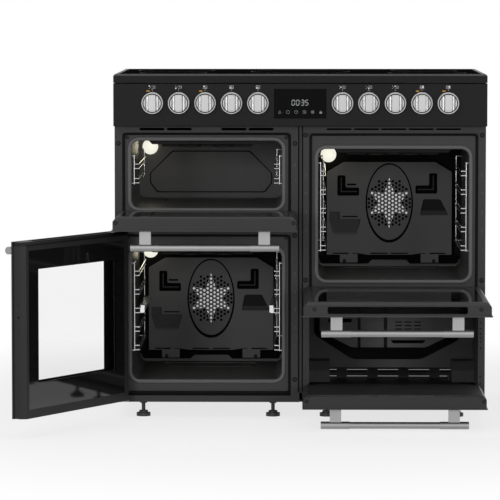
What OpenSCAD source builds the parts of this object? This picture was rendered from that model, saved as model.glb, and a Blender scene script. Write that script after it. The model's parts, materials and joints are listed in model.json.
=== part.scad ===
// Electric range cooker, 1000 mm wide: ceramic hob over a grill cavity, two fan ovens and a
// storage compartment. It is drawn with its doors open: three drop down on hinges along their
// lower edges, and the left oven's door swings to the left on a vertical pin.
// Origin: on the floor, under the centre of the cabinet. +X right, +Y to the rear, +Z up.

/* [Cabinet] */
// Width of the hob and the control panel
overall_w = 1000; // [900:10:1200]
// Depth from the door fronts to the rear panel
overall_d = 600; // [560:5:700]
// Height of the hob above the floor
overall_h = 930; // [900:5:950]
// Ground clearance under the base tray, set by the levelling feet
foot_h = 43.5; // [38:0.5:70]
// How far the cabinet sides stand in from the hob's ends
side_inset = 1; // [0:0.5:4]
// Thickness of the cabinet sheet
sheet = 1.5; // [0.8:0.1:2.5]
// Distance from the door fronts back to the face of the front frames
frame_setback = 40; // [38:1:46]
// Thickness of the front frames
frame_t = 2; // [1.2:0.1:3]
// Depth of the well round each cavity, from the face of the frame
well_depth = 5; // [4.5:0.5:8]
// Width of the gap between the left and the right front frame
split_gap = 8; // [4:1:12]
// Seating clearance between pieces that rest against each other
seat = 0.3; // [0.1:0.1:0.6]

/* [Hob] */
// Height of the hob frame
hob_h = 23; // [18:1:30]
// Gap between the hob frame and the control panel
hob_gap = 2; // [1:0.5:4]
// Width of the hob frame's rim around the glass
hob_rim = 14; // [8:1:24]
// Thickness of the ceramic glass
hob_glass_t = 4; // [4:1:6]
// Height of a radiant heater under the glass
heater_h = 28; // [20:1:40]

/* [Control panel] */
// Height of the control panel
panel_h = 114.5; // [105:0.5:130]
// Thickness of the control panel's face
panel_t = 3; // [2:0.5:4]
// Height of the knob row above the lower edge of the panel
knob_row = 62; // [45:1:75]
// Distance of the innermost knob from the centre
knob_first = 113; // [105:1:130]
// Distance between two knobs
knob_pitch = 70.6; // [64:0.1:75]
// Diameter of a knob's skirt
knob_d = 60; // [40:1:62]
// Depth of a knob in front of the panel
knob_depth = 27; // [18:1:36]
// Diameter of a knob's spindle
spindle_d = 6; // [5:0.5:8]
// Width of the display window
display_w = 140; // [100:2:160]
// Height of the display window
display_h = 79; // [60:1:88]

/* [Cavities] */
// Distance from the end of the front frames to the wells
well_end = 20.5; // [18:0.5:24]
// Distance from the middle of the cooker to the wells
well_mid = 24.5; // [23:0.5:26]
// Distance from the lower and the upper edge of the closed grill door to its well
grill_well_in = [32.5, 14.6]; // [10:0.1:40]
// Distance from the lower and the upper edge of the closed left oven door to its well
left_well_in = [15.3, 11.6]; // [10:0.1:40]
// Distance from the lower and the upper edge of the closed right oven door to its well
right_well_in = [26.3, 16.2]; // [10:0.1:40]
// Width of the flange beside an opening
flange_side = 24.5; // [22:0.5:36]
// Height of the flange under and over the grill opening
grill_flange = [17.6, 22.3]; // [16:0.1:60]
// Height of the flange under and over the left oven's opening
left_flange = [38.2, 40.9]; // [16:0.1:60]
// Height of the flange under and over the right oven's opening
right_flange = [34.4, 42.6]; // [16:0.1:60]
// Depth of the cavities behind their flange
cavity_depth = 454; // [400:2:470]
// Corner radius of the openings
opening_r = 22; // [12:1:30]
// Radius of the rolled ridge round an opening
ridge_r = 6; // [4:0.5:6]
// Diameter of a door seal
seal_d = 6; // [4:0.5:6.4]
// Diameter of a lamp lens
lamp_d = 44; // [36:1:50]
// Distance from a lamp's middle to the side wall and to the roof of its cavity
lamp_in = [31, 37]; // [28:0.5:44]

/* [Fan covers] */
// Distance from a fan cover to the side walls of its oven
cover_side = 26.5; // [22:0.5:32]
// Distance from a fan cover's upper edge to the roof of its oven
cover_top = 57.5; // [50:0.5:64]
// Height of a fan cover's lower edge over the oven floor
cover_lift = 33.5; // [28:0.5:40]
// Depth of the fan chamber behind a cover
chamber_depth = 20; // [18:1:30]
// Distance between two holes of the fan grille
grille_pitch = 11.1; // [10:0.1:13]
// Diameter of the holes of the fan grille
grille_hole = 7.4; // [5:0.2:8.4]
// Half the width and half the height of the fan grille
grille_half = [59.5, 70]; // [50:0.5:72]
// Depth of the pressed hollows in a fan cover
press = 5; // [3:0.5:5]
// Height of a fan's axis over the middle of its cover
fan_shift = 15.5; // [10:0.5:18]
// Distance from the heating ring to the ends of its cover, measured from the cover's middle
ring_in = 39; // [34:0.5:46]
// Gap between a fan's impeller and the heating ring round it
fan_gap = 21; // [14:0.5:30]
// Diameter of a fan's shaft
shaft_d = 8; // [6:1:10]

/* [Side racks] */
// Diameter of the rack wire
wire_d = 4; // [3:0.5:5]
// Distance between two shelf levels
level_pitch = 50.5; // [45:0.5:54]
// Distance between the two wires of a level
level_gap = 12; // [10:0.5:16]
// Length of the racks from front to back
rack_len = 385; // [340:5:400]
// Height of the lowest level over the floor of an oven
first_level = 78; // [70:0.5:90]
// Least distance from the upper level to the roof of an oven
rack_head = 60; // [52:0.5:66]
// Length of the telescopic runners
runner_len = 360; // [320:5:370]

/* [Storage compartment] */
// Depth of the storage compartment behind the front frame
storage_depth = 360; // [320:5:400]
// Distance from the storage compartment's rear wall back to the service cover
service_setback = 42; // [30:1:60]
// Distance from the lower and the upper edge of the closed storage door to the compartment's mouth
storage_in = [28, -6.5]; // [-8:0.5:40]

/* [Doors] */
// Distance from the outer edge of a closed door to the end of the cooker
door_end = 7; // [5:0.5:10]
// Width of the gap between the left and the right doors
door_split = 13; // [10:0.5:16]
// Height of the lower edge of the two lower doors
door_low = 50; // [49:0.5:52]
// Gap between the upper doors and the control panel
panel_gap = 3.5; // [2.5:0.5:6]
// Height of the storage door
storage_door_h = 259.5; // [250:0.5:262]
// Height of the side-hinged oven door
left_door_h = 459; // [450:0.5:460]
// Gap between the right oven door and the storage door
door_gap = 5; // [4:0.5:8]
// Gap between the side-hinged oven door and the grill door, for the hinge bracket
bracket_gap = 8.5; // [8:0.5:12]
// Thickness of the outer door glass
outer_glass_t = 4; // [3:0.5:5]
// Thickness of the inner door glass
inner_glass_t = 3.4; // [3:0.1:4]
// Distance the door frame stands in from the edge of the outer glass
glass_lip = 3; // [1:0.5:5]
// Width of the black border round a door's window
window_border = 67; // [55:1:80]
// Running gap between the inner face of a closed door and the front frame
door_clear = 2; // [1:0.5:3]
// Distance from the door fronts back to the hinge axes
pin_setback = 12; // [10:0.5:14]
// Height of a drop door's hinge axis over the lower edge of the door
pin_rise = 18.6; // [17:0.1:20]
// Diameter of the hinge pins
pin_d = 8; // [6:1:10]
// Distance of a hinge from the end of its door
hinge_in = 26; // [24:1:32]
// Distance of the side-hinged door's pin from the edge of the door
side_pin_in = 8; // [7.5:0.5:10]
// How far the side-hinged door stands open
side_open = 121; // [90:1:125]

/* [Handles] */
// Overall length of a handle
handle_len = 390; // [340:5:420]
// Diameter of a handle's bar
handle_d = 18; // [14:1:20]
// Length of the sleeve at each end of a handle
sleeve_len = 76; // [60:2:90]
// Distance between the two posts of a handle
post_gap = 312; // [260:2:330]
// Distance from the door front to the middle of the bar
handle_out = 44.5; // [38:0.5:45]
// Distance from a door's upper edge to the middle of its handle
handle_drop = 28; // [20:1:40]

/* [Hidden] */
$fn = 48;
front_y = -overall_d / 2;
back_y = overall_d / 2;
frame_y = front_y + frame_setback;
flange_y = frame_y + well_depth;
inner_x = overall_w / 2 - side_inset;
base_z = foot_h;
hob_z = overall_h - hob_h;
panel_top = hob_z - hob_gap;
panel_z = panel_top - panel_h;
frame_top = panel_z - 0.5;
cavity_back = flange_y + cavity_depth;
cover_y = cavity_back - chamber_depth;
split_x = 2.5;
door_high = panel_z - panel_gap;
door_w = overall_w / 2 - door_end - door_split / 2;
pin_y = front_y + pin_setback;
door_in_y = frame_y - door_clear;
door_t = frame_setback - door_clear;
door_mid = overall_w / 2 - door_end - door_w / 2;
right_door_z = door_low + storage_door_h + door_gap;
right_door_h = door_high - right_door_z;
left_door_z = door_low + 1;
grill_door_z = left_door_z + left_door_h + bracket_gap;
grill_door_h = door_high - grill_door_z;
side_pin_x = -door_mid - door_w / 2 + side_pin_in;
running = 0.05;
rear_y = back_y - sheet;
storage_back = frame_y + storage_depth;
storage_z0 = door_low + storage_in.x;
storage_z1 = door_low + storage_door_h - storage_in.y;
storage_x = [24.7, inner_x - 18.5];
storage_mid = (storage_x[0] + storage_x[1]) / 2;
knob_z = panel_z + knob_row;
glass_z = overall_h - hob_glass_t - 0.6;

// Wells round the cavities as [low corner, high corner], then the cavities' widths, floors and heights
column_x = (inner_x - well_end + well_mid) / 2;
well_side = (inner_x - well_end - well_mid) / 2;
grill_well = [[-column_x - well_side, grill_door_z + grill_well_in.x],
    [-column_x + well_side, door_high - grill_well_in.y]];
left_well = [[-column_x - well_side, left_door_z + left_well_in.x],
    [-column_x + well_side, left_door_z + left_door_h - left_well_in.y]];
right_well = [[column_x - well_side, right_door_z + right_well_in.x],
    [column_x + well_side, door_high - right_well_in.y]];
cavity_w = 2 * (well_side - flange_side);
cover_w = cavity_w - 2 * cover_side;
grill_floor = grill_well[0].y + grill_flange.x;
left_floor = left_well[0].y + left_flange.x;
right_floor = right_well[0].y + right_flange.x;
grill_h = grill_well[1].y - grill_flange.y - grill_floor;
left_h = left_well[1].y - left_flange.y - left_floor;
right_h = right_well[1].y - right_flange.y - right_floor;

// Sizes of the fan unit in an oven of height h
function cover_h(h) = h - cover_lift - cover_top;
function fan_rise(h) = cover_lift + cover_h(h) / 2 + fan_shift;
function ring_r(h) = cover_h(h) / 2 - ring_in;
function impeller_r(h) = ring_r(h) - fan_gap;

// ---- shared forms ----

// A flat outline in X and Z, drawn from y0 back to y1
module upright(y0, y1) {
    translate([0, y1, 0]) rotate([90, 0, 0]) linear_extrude(y1 - y0) children();
}

// An outline in Y and Z, drawn from x0 to x1
module along_x(x0, x1) {
    translate([x0, 0, 0]) rotate([90, 0, 90]) linear_extrude(x1 - x0) children();
}

// A box between two corners
module block(a, b) {
    translate(a) cube(b - a);
}

// A rectangle between two corners with rounded corners
module rounded(a, b, r) {
    translate([a.x + r, a.y]) square([b.x - a.x - 2 * r, b.y - a.y]);
    translate([a.x, a.y + r]) square([b.x - a.x, b.y - a.y - 2 * r]);
    for (x = [a.x + r, b.x - r], y = [a.y + r, b.y - r]) translate([x, y]) circle(r);
}

// A round rod along X, Y or Z that starts at p
module rod_x(p, len, d) {
    translate(p) rotate([0, 90, 0]) cylinder(d = d, h = len);
}
module rod_y(p, len, d) {
    translate(p) rotate([-90, 0, 0]) cylinder(d = d, h = len);
}
module rod_z(p, len, d) {
    translate(p) cylinder(d = d, h = len);
}

// A closed round bead that follows a rounded rectangle in X and Z
module bead_loop(a, b, r, d, y) {
    for (z = [a.y, b.y]) rod_x([a.x + r, y, z], b.x - a.x - 2 * r, d);
    for (x = [a.x, b.x]) rod_z([x, y, a.y + r], b.y - a.y - 2 * r, d);
    for (s = [[b.x - r, b.y - r, 0], [a.x + r, b.y - r, 90],
              [a.x + r, a.y + r, 180], [b.x - r, a.y + r, 270]])
        translate([s[0], y, s[1]]) rotate([90, 0, 0]) rotate([0, 0, s[2]])
            rotate_extrude(angle = 90) translate([r, 0]) circle(d = d);
}

// An outline moved outwards by g; the points run counterclockwise
function grown(p, g) = [for (i = [0:len(p) - 1])
    let (a = p[(i + len(p) - 1) % len(p)], b = p[i], c = p[(i + 1) % len(p)],
         u = (b - a) / norm(b - a), v = (c - b) / norm(c - b), m = [u.y, -u.x], n = [v.y, -v.x])
    b + g * (m + n) / (1 + m * n)];

// An outline whose corners are rounded by a curve that starts d before and ends d after each
function softened(p, d, steps = 4) = [for (i = [0:len(p) - 1])
    let (a = p[(i + len(p) - 1) % len(p)], b = p[i], c = p[(i + 1) % len(p)],
         s = b + (a - b) / norm(a - b) * d, e = b + (c - b) / norm(c - b) * d)
    for (k = [0:steps]) let (t = k / steps) pow(1 - t, 2) * s + 2 * t * (1 - t) * b + t * t * e];

// ---- cabinet ----

module base_tray() {
    color("#2c2c2e") difference() {
        block([-inner_x + sheet, tray_y, base_z], [inner_x - sheet, rear_y, base_z + tray_h]);
        block([-inner_x + 2 * sheet, tray_y + sheet, base_z + sheet],
              [inner_x - 2 * sheet, rear_y - sheet, base_z + tray_h + 1]);
        for (x = foot_xs, y = foot_ys) rod_z([x, y, base_z - 1], sheet + 2, 10.4);
    }
}
tray_y = frame_y + frame_t + 6;
tray_h = 5;
foot_end = 75;
foot_mid = 73;
foot_xs = [-overall_w / 2 + foot_end, -foot_mid, foot_mid, overall_w / 2 - foot_end];
foot_ys = [frame_y + 50, rear_y - 55];

side_vent = [24, 6];
side_vent_step = [36, 30];
side_vent_from = [226.5, 247];

module side_panel(s) {
    z1 = hob_z - 0.5;
    y0 = frame_y + frame_t;
    difference() {
        union() {
            block([s > 0 ? inner_x - sheet : -inner_x, y0, base_z],
                  [s > 0 ? inner_x : -inner_x + sheet, rear_y, z1]);
            block([s > 0 ? inner_x - 26 : -inner_x, y0, z1 - sheet],
                  [s > 0 ? inner_x : -inner_x + 26, rear_y, z1]);
            block([s > 0 ? inner_x - 18 : -inner_x, rear_y - sheet, base_z + 24],
                  [s > 0 ? inner_x : -inner_x + 18, rear_y, z1]);
        }
        for (i = [0:4], j = [0, 1])
            translate([s * inner_x - 5, rear_y - side_vent_from.x + i * side_vent_step.x,
                       hob_z - side_vent_from.y + j * side_vent_step.y])
                rotate([90, 0, 90]) linear_extrude(10) rounded(-side_vent / 2, side_vent / 2, 2.9);
    }
}
module side_panel_left() {
    color("#323234") side_panel(-1);
}
module side_panel_right() {
    color("#323234") side_panel(1);
}

cable_d = 28;
cable_pos = [119 - inner_x, base_z + 106.5];
strap_gap = 60;
strap_hole = 6.5;
strap_z = hob_z - 207;
louvre_w = 59;
louvre_h = 6.5;
louvre_slit = 2.2;
louvre_pitch = 88.5;
louvre_rows = [base_z + 6, base_z + 24.5];
vent = [64, 6];
vent_pitch = [96, 18];
vent_drop = 95;

// Rear panel with low louvres, each a slit over a shallow pressed hollow, vents near the hob, the
// hole for the cable and two for a strap that stops the cooker from tipping
module rear_panel() {
    n = floor((inner_x - vent.x) / vent_pitch.x);
    color("#3a3a3c") difference() {
        upright(rear_y, back_y) difference() {
            translate([-inner_x, base_z]) square([2 * inner_x, hob_z - 0.5 - base_z]);
            for (s = [-1, 1], i = [-2:2], z = louvre_rows) translate([s * storage_mid + i * louvre_pitch, z])
                rounded([-louvre_w / 2, 0], [louvre_w / 2, louvre_slit], louvre_slit / 2 - 0.1);
            for (i = [-n:n], j = [0:3]) translate([i * vent_pitch.x, hob_z - vent_drop + j * vent_pitch.y])
                rounded(-vent / 2, vent / 2, 2.9);
            translate(cable_pos) circle(d = cable_d);
            for (s = [-1, 1]) translate([s * strap_gap / 2, strap_z]) circle(d = strap_hole);
        }
        upright(rear_y - 1, rear_y + 0.8)
            for (s = [-1, 1], i = [-2:2], z = louvre_rows) translate([s * storage_mid + i * louvre_pitch, z + 0.2])
                polygon([[-louvre_w / 2 + 4, -louvre_h], [louvre_w / 2 - 4, -louvre_h], [louvre_w / 2, 0], [-louvre_w / 2, 0]]);
    }
}

// Plate behind the storage compartment, with two pressed grooves, small louvres and two slots
service_low = storage_z0 + 72;
service_top = storage_z1 + 34;
service_x = [storage_x[0] + 31, storage_x[1] - 33.5];
service_grooves = [[-86, 8.5], [-11.5, 10]];
service_louvre = [19.7, 3.4];
service_louvre_step = [26.7, 9.9];
groove_deep = 7;

module service_cover() {
    y1 = storage_back + service_setback;
    a = service_x[0];
    b = service_x[1];
    plate = [[a, service_low + 45], [a + 90, service_low], [b - 92, service_low], [b, service_low + 45],
        [b, service_top], [a, service_top]];
    color("#3d3d40") difference() {
        union() {
            upright(y1 - sheet, y1) polygon(softened(plate, 8));
            for (g = service_grooves)
                block([storage_mid + g[0] - g[1] / 2 - sheet, y1 - sheet, service_low + 1],
                      [storage_mid + g[0] + g[1] / 2 + sheet, y1 - sheet + groove_deep, service_top - 5]);
            block([a + 5, storage_back, service_top - 10], [b - 5, y1, service_top - 10 + sheet]);
            for (x = [a, b - sheet]) block([x, storage_back, service_low + 50], [x + sheet, y1, service_top]);
        }
        for (g = service_grooves)
            block([storage_mid + g[0] - g[1] / 2, y1 - sheet - 1, service_low - 1],
                  [storage_mid + g[0] + g[1] / 2, y1 - 2 * sheet + groove_deep, service_top - 5 - sheet]);
        translate([storage_mid, 0, service_low]) upright(y1 - 10, y1 + 1) {
            for (i = [0:2], j = [0:2])
                translate([25.3 + i * service_louvre_step.x, 51.7 + j * service_louvre_step.y])
                    rounded(-service_louvre / 2, service_louvre / 2, 1.6);
            translate([51.9, 16]) polygon([[-50, 4.5], [-42, -4.5], [42, -4.5], [50, 4.5]]);
            translate([-139.8, 75.6]) rounded([-33, -5], [33, 5], 4);
        }
    }
}

// Hollow post between the two columns
module centre_post() {
    color("#1c1c1e") difference() {
        block([split_x - 16, frame_y + frame_t, base_z + 25], [split_x + 16, frame_y + 34, frame_top]);
        block([split_x - 16 + sheet, frame_y + frame_t + sheet, base_z + 24],
              [split_x + 16 - sheet, frame_y + 35, frame_top + 1]);
    }
}

// Sheet frame with wells, returns at its outer edges, vent slots and slots for the hinges
module front_frame(x0, x1, wells, slots, slot_h) {
    difference() {
        union() {
            upright(frame_y, frame_y + frame_t) translate([x0, base_z])
                square([x1 - x0, frame_top - base_z]);
            for (w = wells) upright(frame_y, flange_y)
                rounded(w[0] - [sheet, sheet], w[1] + [sheet, sheet], 8);
        }
        for (w = wells) upright(frame_y - 1, flange_y + 1) rounded(w[0], w[1], 7);
        for (s = slots) upright(frame_y - 1, frame_y + frame_t + 1) {
            rounded([s[0], s[2] - slot_h / 2], [s[1], s[2] + slot_h / 2], slot_h / 2 - 0.1);
        }
        children();
    }
}

hinge_slot_w = 13;
hinge_slot_h = 12;
grill_pin_z = grill_door_z + pin_rise;
right_pin_z = right_door_z + pin_rise;
storage_pin_z = door_low + pin_rise;

module hinge_slots(cx, z) {
    for (s = [-1, 1]) translate([cx + s * (door_w / 2 - hinge_in), frame_y - 1, z])
        block([-hinge_slot_w / 2, 0, -hinge_slot_h / 2], [hinge_slot_w / 2, 4 + frame_t, hinge_slot_h / 2]);
}

vent_slot_w = 67;
vent_slot_step = 73.4;
vent_slot_h = [7, 4.6];
vent_slot_drop = 8.5;

module front_frame_left() {
    slots = [for (k = [-2, -1, 1, 2]) [-column_x + k * vent_slot_step - vent_slot_w / 2,
        -column_x + k * vent_slot_step + vent_slot_w / 2, frame_top - vent_slot_drop]];
    color("#363638") front_frame(-inner_x, split_x - split_gap / 2, [grill_well, left_well], slots, vent_slot_h[0]) {
        hinge_slots(-door_mid, grill_pin_z);
        for (z = [bracket_low, bracket_high]) block([-inner_x + 6, frame_y - 1, z - seat],
            [-inner_x + 40, frame_y + frame_t + 1, z + bracket_t + seat]);
        for (p = frame_holes_left) upright(frame_y - 1, frame_y + frame_t + 1) translate(p) circle(d = strip_hole);
    }
}
module front_frame_right() {
    slots = [for (k = [-2:2]) [column_x + k * vent_slot_step - vent_slot_w / 2,
        column_x + k * vent_slot_step + vent_slot_w / 2, frame_top - vent_slot_drop]];
    color("#363638") front_frame(split_x + split_gap / 2, inner_x, [right_well], slots, vent_slot_h[1]) {
        hinge_slots(door_mid, right_pin_z);
        hinge_slots(door_mid, storage_pin_z);
        upright(frame_y - 1, frame_y + frame_t + 1)
            rounded([storage_x[0], storage_z0], [storage_x[1], storage_z1], 4);
        for (p = frame_holes_right) upright(frame_y - 1, frame_y + frame_t + 1) translate(p) circle(d = strip_hole);
    }
}
strip_hole = 4;
strip_in = 11;
frame_holes_left = [for (z = [100, 190, 280, 370], x = [-inner_x + strip_in, split_x - 14.5]) [x, left_door_z + z]];
frame_holes_right = [for (z = [55, 81, 190, 218.5]) [storage_x[0] - 9, door_low + z],
    for (z = [44, 63, 141.5, 158, 168, 179.5, 194, 210]) [inner_x - strip_in - 1, door_low + z]];

foot_pad_d = 38;
module feet() {
    color("#1d1d1f") for (x = foot_xs, y = foot_ys) {
        rod_z([x, y, 0], 9, foot_pad_d);
        rod_z([x, y, 8.5], 6.5, 24);
        rod_z([x, y, 14], base_z + 16 - 14, 10);
        translate([x, y, base_z - 8 - seat]) cylinder(d = 19, h = 8, $fn = 6);
    }
}

// ---- hob ----

zone_in = 155;
zone_x = overall_w / 2 - zone_in;
zone_front = front_y + 165;
zone_rear = overall_d / 5;
hob_zones = [[-zone_x, zone_front, 180], [-zone_x, zone_rear, 210], [0, 10, 270],
    [zone_x, zone_front, 210], [zone_x, zone_rear, 180]];

module hob_frame() {
    color("#5c5c5e") difference() {
        along_x(-overall_w / 2, overall_w / 2) polygon([[front_y, hob_z], [front_y, overall_h - 4],
            [front_y + 4, overall_h], [back_y - 2, overall_h], [back_y, overall_h - 2], [back_y, hob_z]]);
        block([-overall_w / 2 + hob_rim, front_y + hob_rim, glass_z],
              [overall_w / 2 - hob_rim, back_y - hob_rim, overall_h + 1]);
        block([-overall_w / 2 + hob_rim + 12, front_y + hob_rim + 12, hob_z - 1],
              [overall_w / 2 - hob_rim - 12, back_y - hob_rim - 12, overall_h + 1]);
        for (s = [-1, 1]) translate([s * overall_w / 2, 0, overall_h]) rotate([0, 45, 0])
            cube([6, overall_d + 20, 6], center = true);
    }
}
module hob_glass() {
    gap = hob_rim + seat;
    color("#101012") translate([0, 0, glass_z]) linear_extrude(hob_glass_t)
        rounded([-overall_w / 2 + gap, front_y + gap], [overall_w / 2 - gap, back_y - gap], 3);
}
module hob_heaters() {
    color("#8a8478") for (z = hob_zones) translate([z[0], z[1], glass_z - heater_h - seat])
        difference() {
            union() {
                cylinder(d = z[2], h = heater_h);
                block([z[2] / 2 - 6, -14, 4], [z[2] / 2 + 16, 14, 18]);
            }
            translate([0, 0, heater_h - 14]) cylinder(d = z[2] - 24, h = 20);
        }
}

// ---- control panel ----

knob_xs = [for (i = [4:-1:0]) -knob_first - i * knob_pitch, for (i = [0:4]) knob_first + i * knob_pitch];
lens_at = [0, 2, 8, 9];
lens_w = 9;
lens_h = 3.6;
lens_off = [-11.5, 32.5];
display_z = panel_z + 60.5;

module control_panel() {
    edge = 1.5;
    y1 = frame_y + frame_t - seat;
    color("#2a2a2c") difference() {
        along_x(-overall_w / 2, overall_w / 2) polygon([[front_y + edge, panel_z], [front_y, panel_z + edge],
            [front_y, panel_top - edge], [front_y + edge, panel_top], [y1, panel_top], [y1, panel_z]]);
        block([-overall_w / 2 + sheet, front_y + panel_t, panel_z + sheet],
              [overall_w / 2 - sheet, y1 + 1, panel_top - sheet]);
        for (x = knob_xs) rod_y([x, front_y - 1, knob_z], panel_t + 2, spindle_d + 3);
        upright(front_y - 1, front_y + panel_t + 1) {
            rounded([-display_w / 2 + 6, display_z - display_h / 2 + 6],
                    [display_w / 2 - 6, display_z + display_h / 2 - 6], 2);
            for (i = lens_at) translate([knob_xs[i], knob_z] + lens_off) square([lens_w, lens_h], center = true);
        }
        upright(front_y - 1, front_y + 1) translate([0, display_z])
            square([display_w + 2 * seat, display_h + 2 * seat], center = true);
    }
}
module display_window() {
    color("#08080a") {
        upright(front_y - 0.2, front_y + 1) translate([0, display_z]) square([display_w, display_h], center = true);
        block([-display_w / 2 + 7, front_y + 1, display_z - display_h / 2 + 7],
              [display_w / 2 - 7, front_y + 24, display_z + display_h / 2 - 7]);
    }
}
module indicator_lenses() {
    color("#d08a20") for (i = lens_at) translate([knob_xs[i] + lens_off.x, 0, knob_z + lens_off.y]) {
        g = 0.2;
        block([-lens_w / 2 + g, front_y - 0.4, -lens_h / 2 + g], [lens_w / 2 - g, front_y + panel_t, lens_h / 2 - g]);
        block([-lens_w / 2 - 2, front_y + panel_t, -lens_h / 2 - 2], [lens_w / 2 + 2, front_y + 12, lens_h / 2 + 2]);
    }
}
switch_w = 44;
module switch_bodies() {
    y0 = front_y + panel_t;
    color("#c9c4b4") for (x = knob_xs) difference() {
        union() {
            block([x - switch_w / 2, y0 + 5, knob_z - switch_w / 2], [x + switch_w / 2, y0 + 36, knob_z + switch_w / 2 - 24]);
            block([x - switch_w / 2, y0 + 5, knob_z - switch_w / 2], [x + switch_w / 2, y0 + 34, knob_z + switch_w / 2]);
            rod_y([x, y0, knob_z], 6, 20);
        }
        rod_y([x, y0 - 1, knob_z], 26, spindle_d + 2 * running);
    }
}

// Width of a knob's grip bar, then its reach below and above the spindle
knob_bar = [18.6, 18, 22.4];
scoop_r = 5;

// Dial with a raised skirt, a groove and a grip bar between two scooped hollows
module knob(i) {
    x = knob_xs[i - 1];
    y0 = front_y - 1;
    bar = knob_bar;
    cut = 3.5;
    color("#c8c8ca") translate([x, 0, knob_z]) {
        difference() {
            union() {
                translate([0, y0, 0]) rotate([90, 0, 0]) rotate_extrude()
                    polygon([[0, 0], [knob_d / 2 - 1, 0], [knob_d / 2, 1.5], [knob_d / 2 - 0.5, 7.5],
                        [knob_d / 2 - 2, 9.5], [knob_d / 2 - 6, 9.5], [knob_d / 2 - 7, 7], [0, 7]]);
                rod_y([0, y0 - 14, 0], 8, knob_d * 0.76);
                upright(y0 - knob_depth + 1, y0 - 12) polygon([[-bar[0] / 2, -bar[1] + cut],
                    [-bar[0] / 2 + cut, -bar[1]], [bar[0] / 2 - cut, -bar[1]], [bar[0] / 2, -bar[1] + cut],
                    [bar[0] / 2, bar[2] - 1], [bar[0] / 2 - 1, bar[2]], [-bar[0] / 2 + 1, bar[2]],
                    [-bar[0] / 2, bar[2] - 1]]);
            }
            for (s = [-1, 1]) translate([s * (bar[0] / 2 + scoop_r), y0 - 14, 0])
                cylinder(r = scoop_r, h = knob_d * 0.72, center = true);
            rod_y([0, y0 - 8, 0], 20, spindle_d + 0.02);
        }
        difference() {
            rod_y([0, y0 - 7.9, 0], 30, spindle_d);
            block([-spindle_d, y0 - 9, spindle_d * 0.3], [spindle_d, y0 - 0.5, spindle_d]);
        }
    }
}
module knob_1() { knob(1); }
module knob_2() { knob(2); }
module knob_3() { knob(3); }
module knob_4() { knob(4); }
module knob_5() { knob(5); }
module knob_6() { knob(6); }
module knob_7() { knob(7); }
module knob_8() { knob(8); }
module knob_9() { knob(9); }
module knob_10() { knob(10); }

// ---- cavities ----

function lamp_pos(cx, z0, h) = [cx - cavity_w / 2 + lamp_in.x, z0 + h - lamp_in.y];

// Depth and outline of the air recess in an oven's rear wall, over the fan cover, with its notch
vent_deep = 26;
function vent_outline(top) = [[-cover_w / 2 + 46, top - 12], [cover_w / 2 - 46, top - 12],
    [cover_w / 2 - 62, top + 23.5], [56, top + 23.5], [33, top + 10.5], [17, top + 23.5], [-cover_w / 2 + 72, top + 23.5]];

// Enamelled liner with a flange that fills its well, a rolled ridge and a pressed floor
module cavity(cx, z0, h, well, fan) {
    vent = vent_outline(cover_lift + cover_h(h));
    a = [cx - cavity_w / 2, z0];
    b = [cx + cavity_w / 2, z0 + h];
    t = [sheet, sheet];
    y0 = flange_y;
    e = ridge_r - 1;
    difference() {
        union() {
            upright(y0, y0 + sheet) rounded(well[0] - t, well[1] + t, 8);
            bead_loop(a - [e, e], b + [e, e], opening_r + e, 2 * ridge_r, y0 + 1);
            upright(y0, cavity_back + sheet) rounded(a - t, b + t, opening_r + sheet);
            block([cx - 130, cavity_back - 150, z0 - 5], [cx + 130, cavity_back - 40, z0]);
            if (fan) translate([cx, 0, z0]) upright(cavity_back, cavity_back + vent_deep)
                polygon(grown(vent, sheet));
        }
        upright(y0 - 10, cavity_back) rounded(a, b, opening_r);
        block([cx - 128, cavity_back - 148, z0 - 3.5], [cx + 128, cavity_back - 42, z0 + 1]);
        translate([lamp_pos(cx, z0, h).x, 0, lamp_pos(cx, z0, h).y])
            rod_y([0, cavity_back - 1, 0], 5, lamp_d - 6);
        if (fan) {
            rod_y([cx, cavity_back - 1, z0 + fan_rise(h)], 5, shaft_d + 8);
            translate([cx, 0, z0]) upright(cavity_back - 1, cavity_back + vent_deep - sheet) polygon(vent);
        }
    }
    block([cx - 118, cavity_back - 138, z0 - 4], [cx + 118, cavity_back - 52, z0 - 0.5]);
    if (fan) translate([cx, 0, z0 + cover_lift + cover_h(h)]) {
        block([-57, cavity_back + 4, 6.5], [-16, cavity_back + vent_deep - 1, 11]);
        block([62, cavity_back + 14, 15], [102, cavity_back + vent_deep - 1, 18]);
    }
}

// Distance from the grill cavity's floor and roof to the boss pressed into its rear wall
grill_boss = [18, 51.5];
module grill_cavity() {
    w = cavity_w / 2 - 32.5;
    tall = grill_h - grill_boss.x - grill_boss.y;
    color("#2e2e30") {
        cavity(-column_x, grill_floor, grill_h, grill_well, false);
        upright(cavity_back - 3, cavity_back + 0.5) translate([-column_x, grill_floor + grill_boss.x])
            polygon(softened([[-w + 20, 0], [w - 20, 0], [w, 0.23 * tall], [w, 0.46 * tall], [w - 62, tall],
                [-w + 62, tall], [-w, 0.46 * tall], [-w, 0.23 * tall]], 6));
    }
}
module left_oven_cavity() {
    color("#2e2e30") cavity(-column_x, left_floor, left_h, left_well, true);
}
module right_oven_cavity() {
    color("#2e2e30") cavity(column_x, right_floor, right_h, right_well, true);
}

module door_seals() {
    y = flange_y - seat - seal_d / 2;
    in = seal_d / 2 + 1;
    color("#141416") for (w = [grill_well, left_well, right_well])
        bead_loop(w[0] + [in, in], w[1] - [in, in], 8, seal_d, y);
}

corner_box = [62, 90, 45];

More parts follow.
